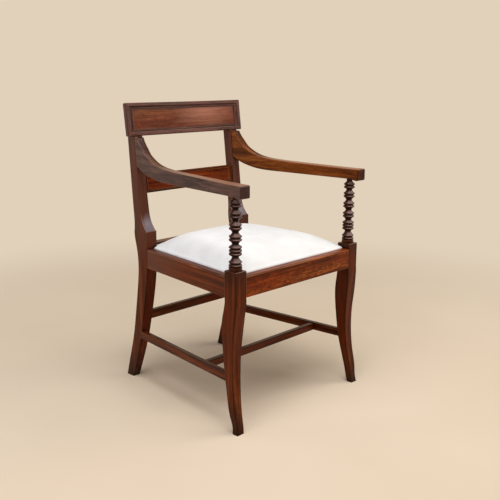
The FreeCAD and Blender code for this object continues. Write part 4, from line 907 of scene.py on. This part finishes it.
def seat_block(grow, low, high):
    mesh = bmesh.new()
    face = mesh.faces.new([mesh.verts.new((x, y, low)) for x, y in seat_outline(grow)])
    top = bmesh.ops.extrude_face_region(mesh, geom=[face])["geom"]
    bmesh.ops.translate(mesh, verts=[v for v in top if isinstance(v, bmesh.types.BMVert)],
                        vec=(0, 0, high - low))
    bmesh.ops.recalc_face_normals(mesh, faces=mesh.faces)
    return mesh


print("seat from", round(seat_front_y / mm), "to", round(seat_back_y / mm), "mm")

# %% Block of even squares
edge_padding = 2.0 * mm
# Folded edges and padding fill out the sides, nearly to the rails.
side_fullness = 2.2 * mm
square_size = 5 * mm

seat_frame_low, seat_frame_high = [corner.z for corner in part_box("seat_frame_front")]
seat_top = seat_frame_high + cover_thickness + edge_padding


def apply_modifiers(made):
    finished = bpy.data.meshes.new_from_object(made.evaluated_get(bpy.context.evaluated_depsgraph_get()))
    made.modifiers.clear()
    made.data = finished


cushion = as_object("seat_cushion", seat_block(side_fullness, cover_low.z, seat_top))
remesh = cushion.modifiers.new("remesh", "REMESH")
remesh.mode = "VOXEL"
remesh.voxel_size = square_size
apply_modifiers(cushion)
print("seat block", len(cushion.data.vertices), "points")

# %% Heap the hair
crown_rise = 48.5 * mm
# A higher power keeps the middle fuller and makes the edges fall more steeply.
crown_fullness = 4.5
seat_middle_y = (seat_front_y + seat_back_y) / 2
half_length = (seat_back_y - seat_front_y) / 2

for vertex in cushion.data.vertices:
    x, y, z = vertex.co
    if z > seat_frame_high:
        half_width = side_front_x - (y - front_notch_y) * math.tan(rail_splay)
        across = min(1.0, abs(x) / half_width)
        along = min(1.0, abs(y - seat_middle_y) / half_length)
        vertex.co.z += crown_rise * (1 - across ** crown_fullness) * (1 - along ** crown_fullness)
print("heaped to", round(max(v.co.z for v in cushion.data.vertices), 4))

# %% Swell the cover
rim_margin = 0.2 * mm
swell_pressure = 4.0
swell_steps = 20
largest_swell = 10 * mm

rim = cushion.vertex_groups.new(name="rim")
rim.add([v.index for v in cushion.data.vertices if v.co.z < seat_frame_high + rim_margin], 1.0, "REPLACE")
start_points = [v.co.copy() for v in cushion.data.vertices]
cloth = cushion.modifiers.new("cloth", "CLOTH")
cloth.settings.use_pressure = True
cloth.settings.uniform_pressure_force = swell_pressure
cloth.settings.effector_weights.gravity = 0
cloth.settings.vertex_group_mass = "rim"
for step in range(1, swell_steps + 1):
    bpy.context.scene.frame_set(step)
apply_modifiers(cushion)
bpy.context.scene.frame_set(1)
moved = 0.0
for vertex, start in zip(cushion.data.vertices, start_points):
    shift = vertex.co - start
    if shift.length > largest_swell:
        vertex.co = start + shift.normalized() * largest_swell
    moved = max(moved, (vertex.co - start).length)
print("largest swell", round(moved / mm, 1), "mm")

# %% Press the sides straight against the rails
# Even squares leave a wavy line where they meet a slanting rail, so the wall is set on its plane.
wall_reach = 4 * mm
blend_height = 5 * mm
# Above its straight wall the cover spreads outwards by this share of its height.
lean = 0.35


def pressed(value, limit, height):
    # A point beyond the limit goes back to it, and one just inside is drawn out, less so higher up.
    if value > limit:
        return limit
    pull = max(0.0, min(1.0, 1 - (height - seat_top) / blend_height))
    return value + (limit - value) * pull if value > limit - wall_reach else value


for vertex in cushion.data.vertices:
    x, y, z = vertex.co
    spread = side_fullness + max(0.0, z - seat_top) * lean
    if front_notch_y < y < back_notch_y:
        side = side_front_x - (y - front_notch_y) * math.tan(rail_splay) + spread
        vertex.co.x = math.copysign(pressed(abs(x), side, z), x)
    if abs(x) < (front_corner_x if y < 0 else back_corner_x):
        end = (spread - seat_front_y) if y < 0 else (spread + seat_back_y)
        vertex.co.y = math.copysign(pressed(abs(y), end, z), y)
crown = cushion.modifiers.new("crown", "SUBSURF")
crown.levels = crown.render_levels = 1
apply_modifiers(cushion)
print("pressed seat", len(cushion.data.polygons), "faces")

# %% [markdown]
# ## The hollow underneath
# The cover is hollow underneath, where the frame, webbing and hessian sit. Boolean cuts open it
# from below and leave a hem 22 mm wide, which is folded under the frame and tacked. Faces could be
# deleted instead, but the block's even squares don't follow the outline of the frame.

# %% Hollow the underside
hem_width = 22 * mm
slack = 0.15 * mm
webbing_inset = 9 * mm
pockets = [
    # How far each pocket outgrows the seat, its bottom and its top: one for the frame, one for the
    # webbing and hessian over it, and one that opens the seat from below.
    (slack, cover_low.z + cover_thickness - 0.05 * mm, seat_frame_high + slack),
    (-webbing_inset, seat_frame_low, hessian_high.z + slack),
    (-hem_width, cover_low.z - 5 * mm, seat_frame_low + 3 * mm),
]
for index, (grow, low, high) in enumerate(pockets):
    cutter = as_object(f"pocket_{index}", seat_block(grow, low, high))
    cut = cushion.modifiers.new("cut", "BOOLEAN")
    cut.operation = "DIFFERENCE"
    cut.object = cutter
    cut.solver = "EXACT"
    apply_modifiers(cushion)
    bpy.data.objects.remove(cutter)
print("hollowed seat", len(cushion.data.polygons), "faces")

# %% [markdown]
# ## Calico
# The cover is plain white cotton, matt and a little furry, so it has a faint sheen and hardly any
# shine. Its threads only soften the light, and its drape is a very low, wide bump.

# %% Calico cloth
# Real threads are 0.4 mm apart. They are drawn 2.4 mm apart so that they show in the render.
calico_thread_scale = 130.0

calico = new_material("white_calico")
place = add(calico, "ShaderNodeTexCoord").outputs["Object"]
weave = crossed_threads(calico, place, (calico_thread_scale, calico_thread_scale), ("X", "Y"), "MULTIPLY",
                        {"Distortion": 0.5, "Detail": 1.0, "Detail Scale": 60.0})
# Slight unevenness of the white, in patches of about 45 mm.
slubs = add(calico, "ShaderNodeTexNoise", {"Vector": place, "Scale": 22.0, "Detail": 4.0}).outputs["Fac"]
colour = set_ramp(add(calico, "ShaderNodeValToRGB", {"Fac": slubs}), [(0.35, "#E8E8E7"), (0.65, "#F0F0F0")])
woven = set_ramp(add(calico, "ShaderNodeValToRGB", {"Fac": weave}), [(0.2, "#C6C5C2"), (0.7, "#F5F5F5")])
colour = add(calico, "ShaderNodeMix", {"Factor": 0.10, "A": colour, "B": woven},
             data_type="RGBA").outputs["Result"]
# The drape has waves about 110 mm long.
drape = add(calico, "ShaderNodeTexNoise", {"Vector": place, "Scale": 9.0, "Detail": 2.0}).outputs["Fac"]
folds = add(calico, "ShaderNodeBump", {"Height": drape, "Strength": 0.08,
                                       "Distance": 3 * mm}).outputs["Normal"]
bump = add(calico, "ShaderNodeBump", {"Height": weave, "Strength": 0.35, "Distance": 0.15 * mm,
                                      "Normal": folds}).outputs["Normal"]
give_surface(calico, {"Base Color": colour, "Roughness": 0.85, "Normal": bump, "Sheen Weight": 0.25,
                      "Sheen Roughness": 0.5, "Specular IOR Level": 0.3})
print("cover cloth:", calico.name)

# %% Dress the seat
cushion.data.materials.clear()
cushion.data.materials.append(calico)
for face in cushion.data.polygons:
    face.use_smooth = True
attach(cushion, "drop_in_seat")
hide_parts("seat_cover", "seat_stuffing")
print("cushion top", round(max(v.co.z for v in cushion.data.vertices), 4))
